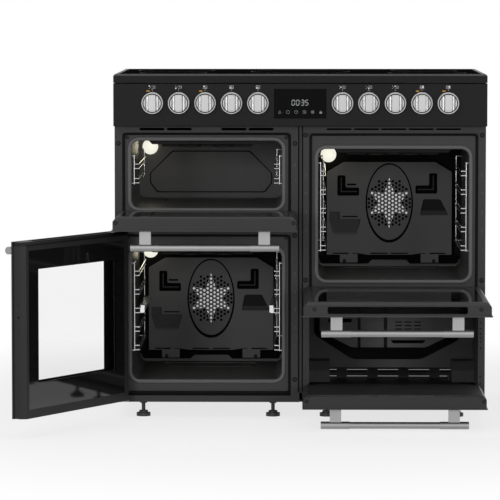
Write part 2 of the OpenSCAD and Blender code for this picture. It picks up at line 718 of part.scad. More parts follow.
// Sides, roof and rear wall of the storage compartment, with a rimmed cut-out and corner covers
module storage_liner() {
    x0 = storage_x[0] - 4;
    x1 = storage_x[1] + 4;
    y0 = frame_y + frame_t;
    a = storage_x[0] + 15;
    b = storage_x[1] - 31;
    low = storage_z0 + 43;
    hole = [[a, low + 69], [a + 107, low], [b - 109, low], [b, low + 57], [b, storage_z1 - 16], [a, storage_z1 - 16]];
    color("#28282a") {
        difference() {
            union() {
                block([x0 - sheet, y0, base_z + 23], [x1 + sheet, storage_back, storage_z1 + 2]);
            }
            difference() {
                block([x0, y0 - 1, base_z + 22], [x1, storage_back - sheet, storage_z1 + 2 - sheet]);
                upright(storage_back - 2 * sheet, storage_back) polygon(softened(grown(hole, 2), 14));
            }
            upright(y0 - 1, storage_back + 1) rounded([x0 + 10, base_z + 20], [x1 - 10, storage_z0 + 20], 2);
            upright(storage_back - 5, storage_back + 1) polygon(softened(hole, 14));
            for (i = [0:3], z = [42, 102, 162], x = [x0 - 1, x1 + 1])
                rod_x([x - 4, y0 + 60 + i * 80, storage_z0 + z], 8, 5);
            for (x = [door_mid - door_w / 2 + hinge_in, door_mid + door_w / 2 - hinge_in])
                block([x - 9, y0 - 1, base_z + 20], [x + 9, y0 + hinge_body_len + 2, storage_pin_z + 16]);
        }
        for (s = [0, 1]) translate([s ? x1 - corner_box.x : x0, storage_back - corner_box.y, 0]) difference() {
            along_x(0, corner_box.x) polygon(corner_side(0));
            along_x(sheet, corner_box.x - sheet) polygon(corner_side(sheet));
        }
    }
}
// Side outline of a corner cover, with walls g thinner; its lower side is open
function corner_side(g) = [[g, base_z + 23 - g], [corner_box.y - sheet - g, base_z + 23 - g],
    [corner_box.y - sheet - g, storage_z0 + corner_box.z - g], [22 + g, storage_z0 + corner_box.z - g],
    [g, storage_z0 + corner_box.z - 24 - g]];

// ---- fan covers, fans and elements ----

// Points round an ellipse
function ellipse(a, b, n = 48) = [for (i = [0:n - 1]) [a * cos(i * 360 / n), b * sin(i * 360 / n)]];

// Outline of a fan cover with w half its width; two shallow waves lift its lower edge
function cover_outline(w, low, top) = [[-w, low], [-w + 58, low], [-w + 76, low + 5], [-w + 84, low + 5],
    [-w + 114, low], [w - 114, low], [w - 84, low + 5], [w - 76, low + 5], [w - 58, low], [w, low],
    [w, top - 28], [w - 47, top], [-w + 47, top], [-w, top - 28]];

// Pressed hollows, from the fan's axis: an angled channel with a ridge in it, a scoop that runs out
// at its foot, and a wedge. e is the cover's edge on that side, top and low are its ends
function channel(e, top) = [[e + 29.5, top - 95], [e + 91, top - 95], [e + 91, top - 72], [e + 52.5, top - 72],
    [e + 52.5, top - 37.5], [e + 29.5, top - 37.5]];
function channel_ridge(e, top) = [[e + 39, top - 85], [e + 85, top - 85], [e + 85, top - 82], [e + 42, top - 82],
    [e + 42, top - 44], [e + 39, top - 44]];
function scoop(e, low) = [[e + 7, low + 96.5], [e + 20, low + 53.5], [e + 82, low + 53.5], [e + 96, low + 101],
    [e + 36.5, low + 101], [e + 36.5, low + 122], [e + 7, low + 122]];
function wedge(e) = [[-e - 90, -34.5], [-e - 9, -34.5], [-e - 32, 10.7], [-e - 80.5, 10.7]];
channel_right = [11.5, 6];

// The hollows from the cover's face back to deep, with walls g thicker
module hollows(e, low, top, deep, g) {
    upright(cover_y - 1, cover_y + deep) {
        polygon(softened(grown(channel(e, top), g), 5));
        translate([-channel_right.x, channel_right.y]) mirror([1, 0]) polygon(softened(grown(channel(e, top), g), 5));
        polygon(softened(grown(wedge(e), g), 5));
    }
    intersection() {
        upright(cover_y - 1, cover_y + deep) polygon(softened(grown(scoop(e, low), g), 4));
        along_x(e, 0) polygon([[cover_y - 1, low + 130], [cover_y + deep, low + 130], [cover_y + deep, low + 98],
            [cover_y + 0.2 + g, low + 53], [cover_y + g, low + 50], [cover_y - 1, low + 50]]);
    }
}

module fan_cover(cx, z0, h) {
    rise = fan_rise(h);
    low = cover_lift - rise;
    top = low + cover_h(h);
    w = cover_w / 2;
    back = cavity_back - seat;
    rim = [67, top - 3];
    groove = 2.4;
    tall = grille_pitch;
    wide = grille_pitch * 0.866;
    rows = floor(grille_half.y / tall) + 1;
    cols = floor(grille_half.x / wide) + 1;
    translate([cx, 0, z0 + rise]) {
        difference() {
            union() {
                difference() {
                    upright(cover_y, back) polygon(softened(cover_outline(w, low, top), 2));
                    upright(cover_y + sheet, back + 1) polygon(grown(cover_outline(w, low, top), -sheet));
                }
                intersection() {
                    hollows(-w, low, top, press + sheet, sheet);
                    upright(cover_y, back) polygon(softened(cover_outline(w, low, top), 2));
                }
                upright(cover_y, cover_y + groove + sheet) difference() {
                    polygon(ellipse(rim.x + sheet, rim.y + sheet));
                    polygon(ellipse(rim.x - 4.3 - sheet, rim.y - 6.2 - sheet));
                }
                upright(cover_y, cover_y + sheet) for (x = [-tab_x, tab_x]) translate([x, low])
                    rounded([-25, -22], [25, 3], 2);
                for (x = [-tab_x, tab_x]) rod_y([x, cover_y, low - 14], 9, 12);
            }
            hollows(-w, low, top, press, 0);
            upright(cover_y - 1, cover_y + groove) difference() {
                polygon(ellipse(rim.x, rim.y));
                translate([0, 1.9]) polygon(ellipse(rim.x - 4.3, rim.y - 6.2));
            }
            upright(cover_y - 1, cover_y + sheet + 1) {
                for (i = [-cols:cols], j = [-rows:rows])
                    let (x = i * wide, z = (j + (i % 2 == 0 ? 0 : 0.5)) * tall)
                        if (pow(x / grille_half.x, 2) + pow(z / grille_half.y, 2) < 1)
                            translate([x, z]) circle(d = grille_hole, $fn = 16);
                for (s = [-1, 1], x = [[-w + 17, -w + 62], [-53, -4]])
                    mirror([s > 0 ? 1 : 0, 0]) rounded([x[0], low + 2.2], [x[1], low + 5.8], 1.7);
                translate([-w + 69.5, top - 63.5]) rounded([-13.4, -2.6], [13.4, 2.6], 2.5);
                translate([-w + 65.3, low + 108]) rounded([-22, -1.8], [22, 1.8], 1.7);
            }
        }
        for (s = [0, 1]) translate([s ? -channel_right.x : 0, 0, s ? channel_right.y : 0]) mirror([s, 0, 0])
            upright(cover_y + 1, cover_y + press + 0.5) polygon(softened(channel_ridge(-w, top), 1));
        // Air guide under the cover
        upright(cover_y + 9, cover_y + 9 + sheet) difference() {
            rounded([-cavity_w / 2 + 7.5, 8 - rise], [cavity_w / 2 - 7.5, low - 1], 11);
            polygon([[-60, 7 - rise], [60, 7 - rise], [48, 19 - rise], [-48, 19 - rise]]);
        }
    }
}
tab_x = 114;
module fan_cover_left() {
    color("#3a3a3c") fan_cover(-column_x, left_floor, left_h);
}
module fan_cover_right() {
    color("#3a3a3c") fan_cover(column_x, right_floor, right_h);
}

// Six pointed star of bright sheet with a folded blade along each point
module fan(cx, z0, h) {
    y0 = cover_y + sheet + 3.5;
    r = impeller_r(h);
    star = [for (i = [0:11]) (i % 2 == 0 ? r : r * 0.42) * [sin(i * 30), cos(i * 30)]];
    translate([cx, 0, z0 + fan_rise(h)]) {
        upright(y0, y0 + 1.2) polygon(star);
        for (i = [0:5]) rotate([0, i * 60, 0]) {
            block([1.5, y0 + 1, r * 0.3], [2.7, y0 + 10, r * 0.86]);
            block([-r * 0.2, y0 + 0.6, r * 0.4], [1.6, y0 + 1.2, r * 0.5]);
        }
        rod_y([0, y0, 0], 11, 22);
        rod_y([0, y0 - 1.5, 0], 3, 13);
        rod_y([0, y0, 0], chamber_depth + sheet + 36, shaft_d);
    }
}
module fan_left() {
    color("#c8c8c4") fan(-column_x, left_floor, left_h);
}
module fan_right() {
    color("#c8c8c4") fan(column_x, right_floor, right_h);
}

module fan_motors() {
    y0 = cavity_back + sheet + seat;
    color("#8d8f92") for (c = [[-column_x, left_floor, left_h], [column_x, right_floor, right_h]])
        translate([c.x, 0, c.y + fan_rise(c.z)]) difference() {
            union() {
                upright(y0, y0 + 2) rounded([-58, -30], [58, 30], 8);
                rod_y([0, y0 + 1, 0], 9, 34);
                block([-30, y0 + 8, -26], [30, y0 + 30, 26]);
                rod_y([0, y0 + 29, 0], 7, 30);
            }
            rod_y([0, y0 - 1, 0], 46, shaft_d + 2 * running);
        }
}

module ring_elements() {
    y = cover_y + chamber_depth / 2 + 1;
    color("#4a4440") for (c = [[-column_x, left_floor, left_h], [column_x, right_floor, right_h]])
        let (r = ring_r(c.z)) translate([c.x, 0, c.y + fan_rise(c.z)]) {
            translate([0, y, 0]) rotate([90, 0, 0]) rotate_extrude() translate([r, 0]) circle(d = 6.5);
            block([-22, y + 1, -r - 7], [22, cavity_back - seat, -r + 7]);
            block([-9, y + 1, r - 5], [9, cavity_back - seat, r + 5]);
        }
}

// Looped heating rod under a cavity's roof, hung behind a deflector with chamfered ends
module roof_element(cx, z1, reach) {
    y0 = flange_y + 30;
    z = z1 - 15;
    w = cavity_w / 2 - 44.5;
    color("#3c3735") translate([cx, 0, 0]) {
        upright(y0, y0 + sheet) polygon([[-w, z1 - seat], [w, z1 - seat], [w - 10, z1 - 11], [-w + 10, z1 - 11]]);
        for (x = [-120, 120]) block([x - 6, y0 + sheet - 0.1, z1 - 11], [x + 6, y0 + 24, z1 - seat]);
        for (s = [-1, 1]) {
            for (x = [20, 70, 120]) rod_y([s * x, y0 + 20, z], x == 20 ? reach : reach - 60, 6.5);
            for (q = [[45, 0, 180], [95, 1, 0]]) translate([s * q[0], q[1] == 0 ? y0 + 20 : y0 + reach - 40, z])
                rotate([0, 0, q[2]]) rotate_extrude(angle = 180) translate([25, 0]) circle(d = 6.5);
        }
        translate([0, y0 + 20, z]) rod_x([-120, 0, 0], 240, 6);
        for (s = [-1, 1]) block([s * 20 - 9, y0 + 14 + reach, z - 9], [s * 20 + 9, cavity_back - seat, z + 9]);
        block([-29, y0 + 13 + reach, z - 9], [29, y0 + 16 + reach, z + 9]);
    }
}
module roof_elements() {
    reach = cavity_back - flange_y - 60;
    roof_element(-column_x, grill_floor + grill_h, reach);
    roof_element(-column_x, left_floor + left_h, reach);
    roof_element(column_x, right_floor + right_h, reach);
}

module oven_lamps() {
    color("#f4efd4") for (c = [[-column_x, grill_floor, grill_h], [-column_x, left_floor, left_h],
                               [column_x, right_floor, right_h]])
        let (p = lamp_pos(c[0], c[1], c[2])) translate([p.x, cavity_back - seat, p.y]) rotate([90, 0, 0])
            rotate_extrude() polygon([[0, -32], [lamp_d / 2 - 6, -32], [lamp_d / 2 - 6, 0], [lamp_d / 2, 0],
                [lamp_d / 2, 3], [lamp_d / 2 - 2, 6], [lamp_d / 2 - 8, 8], [0, 9]]);
}

// ---- side racks and runners ----

wire_in = 19;
rack_y = flange_y + 22;
rack_over = 24;
function levels(h) = floor((h - first_level - level_gap - rack_head) / level_pitch) + 1;

// One chrome side rack; s is -1 on the left wall of the cavity and 1 on the right
module side_rack(cx, z0, levels, pitch, first, over, s) {
    wall = cx + s * cavity_w / 2;
    xi = wall - s * wire_in;
    xw = wall - s * 6;
    top = z0 + first + (levels - 1) * pitch + level_gap + over;
    low = z0 + first - 3;
    xr = xi + s * (wire_d - 0.7);
    for (k = [0:levels - 1], g = [0, level_gap]) {
        z = z0 + first + k * pitch + g;
        rod_x([min(xw, xi), rack_y, z], wire_in - 6, wire_d);
        translate([xi, rack_y, z]) sphere(d = wire_d);
        rod_y([xi, rack_y, z], rack_len, wire_d);
    }
    rod_z([xw, rack_y, low], top - low, wire_d);
    rod_z([xr, rack_y + rack_len - 5, low], top - low, wire_d);
    for (p = [[xw, rack_y], [xr, rack_y + rack_len - 5]], z = [low + 2, top - 2])
        rod_x([min(p.x, wall - s * seat), p.y, z], abs(wall - s * seat - p.x), wire_d);
    rod_y([xw, rack_y, top - 2], 28, wire_d);
}
module side_racks() {
    color("#d8d8da") for (s = [-1, 1]) {
        side_rack(-column_x, grill_floor, 2, grill_h * 0.215, grill_h * 0.364, grill_h * 0.132, s);
        side_rack(-column_x, left_floor, levels(left_h), level_pitch, first_level, rack_over, s);
        side_rack(column_x, right_floor, levels(right_h), level_pitch, first_level, rack_over, s);
    }
}

runner_level = 2;
runner_z = left_floor + first_level + runner_level * level_pitch + level_gap / 2;
runner_w = 9;
runner_h = 14;
runner_y = rack_y + 4;

// C-shaped channel on the inner side of a rack, open towards the middle of the oven
module runner_channel(s) {
    x = -column_x + s * (cavity_w / 2 - wire_in - wire_d / 2 - seat);
    translate([x, 0, runner_z]) mirror([s > 0 ? 1 : 0, 0, 0]) difference() {
        block([0, runner_y, -runner_h / 2], [runner_w, runner_y + runner_len, runner_h / 2]);
        block([1.6, runner_y - 1, -runner_h / 2 + 1.6], [runner_w + 1, runner_y + runner_len - 2, runner_h / 2 - 1.6]);
    }
}
module runner_channels() {
    color("#b9bbbe") for (s = [-1, 1]) runner_channel(s);
}
module runner_slide(s) {
    x = -column_x + s * (cavity_w / 2 - wire_in - wire_d / 2 - seat);
    g = seat;
    color("#d0d2d4") translate([x, 0, runner_z]) mirror([s > 0 ? 1 : 0, 0, 0]) {
        block([1.6 + g, runner_y - 2, -runner_h / 2 + 1.6 + g],
              [runner_w + 3, runner_y + runner_len - 4, runner_h / 2 - 1.6 - g]);
        block([1.6 + g, runner_y - 6, -runner_h / 2 + 1.6 + g], [runner_w + 3, runner_y - 1.5, runner_h / 2 + 7]);
        block([5, runner_y + runner_len - 12, runner_h / 2 - 2 - g], [runner_w + 3, runner_y + runner_len - 8, runner_h / 2 - 1.6 - g]);
    }
}
module runner_slide_left() {
    runner_slide(-1);
}
module runner_slide_right() {
    runner_slide(1);
}

// ---- hinges ----

hinge_body_len = 80;
knuckle_w = 10;
knuckle_r = 8;
neck_h = 10;
pin_len = 26;

// Body behind the front frame, neck through its slot and knuckle with the pin
module hinge_unit(x, z) {
    y1 = frame_y + frame_t + seat;
    translate([x, 0, z]) {
        rod_x([-knuckle_w / 2, pin_y, 0], knuckle_w, 2 * knuckle_r);
        block([-knuckle_w / 2, pin_y, -neck_h / 2], [knuckle_w / 2, y1 + 2, neck_h / 2]);
        rod_x([-pin_len / 2, pin_y, 0], pin_len, pin_d);
        difference() {
            block([-7, y1, -14], [7, y1 + hinge_body_len, neck_h / 2]);
            block([-7 + sheet, y1 + 12, -15], [7 - sheet, y1 + hinge_body_len - 4, neck_h / 2 - sheet]);
        }
    }
}
module door_hinges() {
    color("#77797c") for (d = [[-door_mid, grill_pin_z], [door_mid, right_pin_z], [door_mid, storage_pin_z]],
                          s = [-1, 1]) hinge_unit(d[0] + s * (door_w / 2 - hinge_in), d[1]);
}

bracket_t = 3;
bracket_high = left_door_z + left_door_h + 1.2;
bracket_low = left_door_z - 1.2 - bracket_t;
module side_hinge_bracket(z, dir) {
    x0 = -inner_x + 8;
    x1 = -inner_x + 38;
    y1 = frame_y + frame_t + seat;
    difference() {
        union() {
            block([x0, pin_y, z], [x1, y1 + 2.5, z + bracket_t]);
            rod_z([side_pin_x, pin_y, z], bracket_t, 12);
            block([x0, y1, dir > 0 ? z : z - 11], [x1, y1 + 2.5, dir > 0 ? z + 11 + bracket_t : z + bracket_t]);
        }
        translate([0, 0, z - 1]) linear_extrude(bracket_t + 2) polygon([[side_pin_x + 14, pin_y - 1],
            [x1 + 1, pin_y - 1], [x1 + 1, pin_y + 16]]);
    }
    rod_z([side_pin_x, pin_y, dir > 0 ? z : z - 14], 14 + bracket_t, pin_d);
}
module side_hinge_brackets() {
    color("#77797c") {
        side_hinge_bracket(bracket_high, -1);
        side_hinge_bracket(bracket_low, 1);
    }
}

// ---- doors ----

glass_y = front_y + outer_glass_t;

// Puts a drop door, drawn closed, into its open place
module dropped(z) {
    translate([0, pin_y, z]) rotate([90, 0, 0]) translate([0, -pin_y, -z]) children();
}
// Puts the side-hinged door, drawn closed, into its open place
module swung() {
    translate([side_pin_x, pin_y, 0]) rotate([0, 0, -side_open]) translate([-side_pin_x, -pin_y, 0]) children();
}

// Outline of a door frame in Y and Z, with its lower inner edge round the hinge axis
module door_side(h, r) {
    difference() {
        polygon([[glass_y, 1], [door_in_y, 1], [door_in_y, h - 8], [door_in_y - 7, h - 1], [glass_y, h - 1]]);
        if (r > 0) difference() {
            translate([pin_y, -1]) square([door_t, pin_rise + 1]);
            translate([pin_y, pin_rise]) circle(r);
        }
    }
}

// Pressed door frame with an air space behind the outer glass and blocks for its hinges. win holds
// the window's lower and upper edge, or is empty; drop is true for a door that drops down
module door_frame(h, win, drop) {
    w = door_w;
    e = drop ? glass_lip : 1;
    slot = [64, w - 64];
    knuckle_gap = 0.6;
    difference() {
        intersection() {
            linear_extrude(h) polygon([[e, glass_y], [w - glass_lip, glass_y],
                [w - glass_lip, door_in_y - 12], [w - 13, door_in_y], [drop ? 13 : 5, door_in_y],
                [e, door_in_y - (drop ? 12 : 4)]]);
            along_x(0, w) door_side(h, drop ? frame_y - pin_y - 1 : 0);
        }
        difference() {
            block([15, glass_y - 1, 13], [w - 15, door_in_y - 5, h - 14]);
            if (drop) for (x = [0, w - 48]) block([x, glass_y - 2, 0], [x + 48, door_in_y, 36]);
            else for (z = [0, h - 32]) block([0, glass_y - 2, z], [32, door_in_y, z + 32]);
        }
        upright(door_in_y - 6, door_in_y + 1) if (len(win) > 0)
            rounded([window_border, win[0]], [w - window_border, win[1]], 4);
        if (len(win) > 0) upright(door_in_y - inner_glass_t - 0.2, door_in_y + 1)
            rounded([rebate - seat, rebate_z(drop) - seat], [w - rebate + seat, h - rebate + seat], 3);
        for (z = [-1, h - 15]) if (drop || z > 0) translate([0, 0, z]) linear_extrude(18)
            rounded([slot[0], glass_y + 4], [slot[1], door_in_y - 11], 5);
        if (!drop) for (z = [0, h - 17]) rod_z([side_pin_in, pin_y, z - 1], 18, pin_d + 2 * running);
        if (drop) for (x = [hinge_in, w - hinge_in]) translate([x, pin_y, pin_rise]) {
            rod_x([-knuckle_w / 2 - knuckle_gap, 0, 0], knuckle_w + 2 * knuckle_gap,
                2 * (knuckle_r + knuckle_gap));
            rod_x([-pin_len / 2 - seat, 0, 0], pin_len + 2 * seat, pin_d + 2 * running);
            block([-knuckle_w / 2 - knuckle_gap, -neck_h / 2 - knuckle_gap, -pin_rise - 1],
                  [knuckle_w / 2 + knuckle_gap, door_t, neck_h / 2 + knuckle_gap]);
        }
    }
}
rebate = 24;
function rebate_z(drop) = drop ? 40 : 24;

module outer_glass(h) {
    upright(front_y, glass_y - 0.05) rounded([0, 0], [door_w, h], 2);
}
module inner_glass(h, drop) {
    upright(door_in_y - inner_glass_t, door_in_y)
        rounded([rebate, rebate_z(drop)], [door_w - rebate, h - rebate], 3);
}

// Bar with a sleeve at each end on two flat posts
module handle(h) {
    translate([door_w / 2, front_y - handle_out, h - handle_drop]) {
        rod_x([-handle_len / 2 + 2, 0, 0], handle_len - 4, handle_d);
        for (s = [-1, 1]) {
            translate([s * (handle_len - sleeve_len) / 2, 0, 0]) rotate([0, 90, 0])
                cylinder(d = handle_d + 2, h = sleeve_len, center = true);
            block([s * post_gap / 2 - 15, -4, -5], [s * post_gap / 2 + 15, handle_out - 0.1, 5]);
        }
    }
}

grill_win = [66, grill_door_h - 58];
left_win = [91, left_door_h - 74];
right_win = [91, right_door_h - 74];
grill_at = [-door_mid - door_w / 2, 0, grill_door_z];
left_at = [-door_mid - door_w / 2, 0, left_door_z];
right_at = [door_mid - door_w / 2, 0, right_door_z];
storage_at = [door_mid - door_w / 2, 0, door_low];
frame_color = "#3a3a3c";
glass_color = "#0c0c0e";
steel_color = "#b4b4b6";

module grill_door_frame() {
    color(frame_color) dropped(grill_pin_z) translate(grill_at) door_frame(grill_door_h, grill_win, true);
}
module grill_door_outer_glass() {
    color(glass_color) dropped(grill_pin_z) translate(grill_at) outer_glass(grill_door_h);
}
module grill_door_inner_glass() {
    color(glass_color) dropped(grill_pin_z) translate(grill_at) inner_glass(grill_door_h, true);
}
module grill_door_handle() {
    color(steel_color) dropped(grill_pin_z) translate(grill_at) handle(grill_door_h);
}
module left_door_frame() {
    color(frame_color) swung() translate(left_at) door_frame(left_door_h, left_win, false);
}
module left_door_outer_glass() {
    color(glass_color) swung() translate(left_at) outer_glass(left_door_h);
}
module left_door_inner_glass() {
    color(glass_color) swung() translate(left_at) inner_glass(left_door_h, false);
}
module left_door_handle() {
    color(steel_color) swung() translate(left_at) handle(left_door_h);
}
module right_door_frame() {
    color(frame_color) dropped(right_pin_z) translate(right_at) door_frame(right_door_h, right_win, true);
}
module right_door_outer_glass() {
    color(glass_color) dropped(right_pin_z) translate(right_at) outer_glass(right_door_h);
}
module right_door_inner_glass() {
    color(glass_color) dropped(right_pin_z) translate(right_at) inner_glass(right_door_h, true);
}
module right_door_handle() {
    color(steel_color) dropped(right_pin_z) translate(right_at) handle(right_door_h);
}
module storage_door_frame() {
    color(frame_color) dropped(storage_pin_z) translate(storage_at) door_frame(storage_door_h, [], true);
}
module storage_door_outer_glass() {
    color(glass_color) dropped(storage_pin_z) translate(storage_at) outer_glass(storage_door_h);
}
module storage_door_handle() {
    color(steel_color) dropped(storage_pin_z) translate(storage_at) handle(storage_door_h);
}

base_tray();
side_panel_left();
side_panel_right();
rear_panel();
service_cover();
centre_post();
front_frame_left();
front_frame_right();
hob_frame();
hob_glass();
hob_heaters();
control_panel();
display_window();
indicator_lenses();
switch_bodies();
grill_cavity();
left_oven_cavity();
right_oven_cavity();
storage_liner();
door_seals();
fan_cover_left();
fan_cover_right();
fan_motors();
ring_elements();
roof_elements();
oven_lamps();
side_racks();
runner_channels();
door_hinges();
side_hinge_brackets();
feet();
grill_door_frame();
grill_door_outer_glass();
grill_door_inner_glass();
grill_door_handle();
left_door_frame();
left_door_outer_glass();
left_door_inner_glass();
left_door_handle();
right_door_frame();
right_door_outer_glass();
right_door_inner_glass();
right_door_handle();
storage_door_frame();
storage_door_outer_glass();
storage_door_handle();
knob_1();
knob_2();
knob_3();
knob_4();
knob_5();
knob_6();
knob_7();
knob_8();
knob_9();
knob_10();
fan_left();
fan_right();
runner_slide_left();
runner_slide_right();
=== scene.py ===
# %% [markdown]
# A range cooker, 1000 mm wide. On the left a grill sits over an oven, on the right a tall oven over
# a storage compartment, and all four doors stand open. The shapes come from a packed construction
# model that is loaded as a fixed frame. This file gives each piece its finish, adds the small things
# that a cooker carries on its skin, such as screws and printed signs, and lights it.

import json
import math

import bmesh
import bpy
from mathutils import Matrix, Vector


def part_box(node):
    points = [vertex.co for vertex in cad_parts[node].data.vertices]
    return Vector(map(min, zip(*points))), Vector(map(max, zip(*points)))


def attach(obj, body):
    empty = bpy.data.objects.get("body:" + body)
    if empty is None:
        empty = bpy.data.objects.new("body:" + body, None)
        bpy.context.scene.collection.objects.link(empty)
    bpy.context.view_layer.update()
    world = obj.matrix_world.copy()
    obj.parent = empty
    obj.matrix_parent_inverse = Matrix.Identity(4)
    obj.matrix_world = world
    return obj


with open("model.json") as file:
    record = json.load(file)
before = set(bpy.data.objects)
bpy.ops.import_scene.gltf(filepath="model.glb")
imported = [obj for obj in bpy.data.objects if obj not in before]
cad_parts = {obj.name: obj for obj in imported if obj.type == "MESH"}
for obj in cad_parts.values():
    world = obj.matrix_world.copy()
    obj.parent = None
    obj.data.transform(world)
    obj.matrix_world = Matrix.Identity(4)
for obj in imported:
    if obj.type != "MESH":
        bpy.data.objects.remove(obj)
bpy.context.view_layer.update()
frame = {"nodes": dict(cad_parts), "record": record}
MM = 0.001


# %% [markdown]
# A finish is a small graph of nodes. Linked by hand, one after the other, even a simple mask takes
# a dozen lines. So a small class wraps one output of a node and knows + - * and powers: a sum that
# is written in Python adds the Math nodes for it. The steps stay ordinary nodes, so a material is
# still easy to open and change in the Shader Editor.

# %% Sums with node outputs
class Value:
    """One output of a node, which takes part in Python sums by adding Math nodes."""

    def __init__(self, nodes, socket):
        self.nodes = nodes
        self.socket = socket

    def math(self, operation, a, b=0.0):
        return self.nodes.add("ShaderNodeMath", {"operation": operation}, {0: a, 1: b})

    def __add__(self, other):
        return self.math("ADD", self, other)

    def __radd__(self, other):
        return self.math("ADD", other, self)

    def __sub__(self, other):
        return self.math("SUBTRACT", self, other)

    def __rsub__(self, other):
        return self.math("SUBTRACT", other, self)

    def __mul__(self, other):
        return self.math("MULTIPLY", self, other)

    def __rmul__(self, other):
        return self.math("MULTIPLY", other, self)

    def __pow__(self, power):
        return self.math("POWER", self, power)

    def __abs__(self):
        return self.math("ABSOLUTE", self)

    def __lt__(self, other):
        return self.math("LESS_THAN", self, other)

    def __gt__(self, other):
        return self.math("GREATER_THAN", self, other)

    def within(self, low, high):
        """1 between low and high, 0 outside them."""
        return (self > low) * (self < high)

    def clamp(self):
        return self.nodes.add("ShaderNodeClamp", {}, {0: self})

    def step(self, low, high):
        """0 below low and 1 above high, with a smooth slope between them."""
        return self.nodes.add("ShaderNodeMapRange", {"interpolation_type": "SMOOTHSTEP"},
                              {0: self, 1: low, 2: high})


print("sums with values: + - * ** abs < >, and the steps between two heights")


# %% [markdown]
# Every other node comes from one method, which takes the node's type, its settings and what goes
# into its sockets. The same class fills the tree of a material and, at the end, that of the world.

# %% Trees of nodes
class Nodes:
    """A node tree that is being filled."""

    def __init__(self, tree, output_kind):
        self.tree = tree
        self.tree.nodes.clear()
        self.output = self.tree.nodes.new(output_kind)

    def add(self, kind, settings, inputs, out=0):
        """Adds one node: first its settings, then the values or links of its sockets."""
        node = self.tree.nodes.new(kind)
        for key, value in settings.items():
            setattr(node, key, value)
        for key, value in inputs.items():
            if isinstance(value, Value):
                self.tree.links.new(value.socket, node.inputs[key])
            else:
                node.inputs[key].default_value = value
        return Value(self, node.outputs[out])

    def show(self, shader):
        """Leads a shader to the output of the tree."""
        self.tree.links.new(shader.socket, self.output.inputs["Surface"])


print("one method adds every kind of node")


# %% [markdown]
# A finish needs to know where on the piece a point lies. Texture coordinates of the kind Object are
# in metres and move with the piece, so a pattern made from them stays on a door when it swings. All
# patterns below are noises and masks over those coordinates, with no picture and no unwrapping.

# %% Finishes
class Finish(Nodes):
    """A material that is being made."""

    def __init__(self, name):
        self.material = bpy.data.materials.new(name)
        self.material.use_nodes = True
        super().__init__(self.material.node_tree, "ShaderNodeOutputMaterial")

    def place(self):
        """Coordinates in metres that move with the piece."""
        return self.add("ShaderNodeTexCoord", {}, {}, "Object")

    def axes(self):
        """The three coordinates as separate values."""
        split = self.add("ShaderNodeSeparateXYZ", {}, {0: self.place()})
        return [Value(self, socket) for socket in split.socket.node.outputs]

    def stretch(self, x, y, z):
        """Coordinates multiplied by a factor on each axis, for grain that runs one way."""
        return self.add("ShaderNodeVectorMath", {"operation": "MULTIPLY"},
                        {0: self.place(), 1: (x, y, z)})

    def noise(self, scale, detail=3.0, where=None):
        return self.add("ShaderNodeTexNoise", {},
                        {"Vector": where or self.place(), "Scale": scale, "Detail": detail})

    def mix(self, share, a, b):
        """A colour that goes from a to b as share goes from 0 to 1."""
        return self.add("ShaderNodeMix", {"data_type": "RGBA"}, {0: share, 6: a, 7: b}, 2)

    def bump(self, height, depth):
        """A normal from a height; depth is in metres."""
        return self.add("ShaderNodeBump", {}, {"Height": height, "Distance": depth})

    def facing(self):
        """0 where the surface is seen square on, rising to 1 where it is seen edge on."""
        return self.add("ShaderNodeLayerWeight", {}, {"Blend": 0.5}, "Facing")

    def surface(self, **sockets):
        """The Principled shader. Names of sockets are given with underscores for spaces."""
        inputs = {key.replace("_", " "): value for key, value in sockets.items()}
        self.show(self.add("ShaderNodeBsdfPrincipled", {}, inputs))
        return self.material


print("a finish has coordinates, noises, mixes and bumps")


# %% [markdown]
# Most nodes share a finish with others. The record names a material slot for every node, so one
# table goes from slot to finish. A second one holds the nodes whose finish depends on their own
# shape or place, such as a knob, whose rings run round its axis. Nearly all colours are greys.

# %% Tables of finishes
finishes = {}
special = {}
slots = {part["node"]: part["material_slot"] for part in frame["record"]["subparts"]}


def grey(level, warm=0.0):
    """A nearly neutral colour; warm tips it towards red."""
    return (level * (1 + warm), level, level * (1 - warm), 1)


def tone(colour, share=1.0):
    """A colour of three parts, made darker or lighter by a share."""
    return tuple(part * share for part in colour) + (1,)


print("material slots:", len(set(slots.values())))


# %% [markdown]
# Most of the cooker is sheet steel under a dark satin coat. Powder coat has a fine orange-peel
# surface, and where hands and cloths pass it is a little smoother. One flat colour would look like
# plastic, so a noise of about a decimetre moves the colour by a tenth, and a fine one gives the peel
# through a Bump node.

# %% Satin coat
CLOUD = 9.0
GRAIN = 900.0
PEEL = 0.00002


def coat(name, level, roughness, sheen, peel=PEEL):
    """Powder coat of one grey level; peel is the height of its grain in metres."""
    f = Finish(name)
    cloud = f.noise(CLOUD, 4.0)
    grain = f.noise(GRAIN, 2.0)
    colour = f.mix(cloud, grey(level * 0.88), grey(level * 1.12))
    return f.surface(Base_Color=colour, Roughness=roughness - 0.05 + cloud * 0.1,
                     Specular_IOR_Level=sheen, Normal=f.bump(grain, peel))


finishes["body_paint"] = coat("body_paint", 0.018, 0.44, 0.25)
finishes["frame_enamel"] = coat("frame_enamel", 0.022, 0.46, 0.25)
finishes["door_enamel"] = coat("door_enamel", 0.020, 0.44, 0.25)
finishes["panel_paint"] = coat("panel_paint", 0.007, 0.48, 0.12)
print("satin coats:", list(finishes))
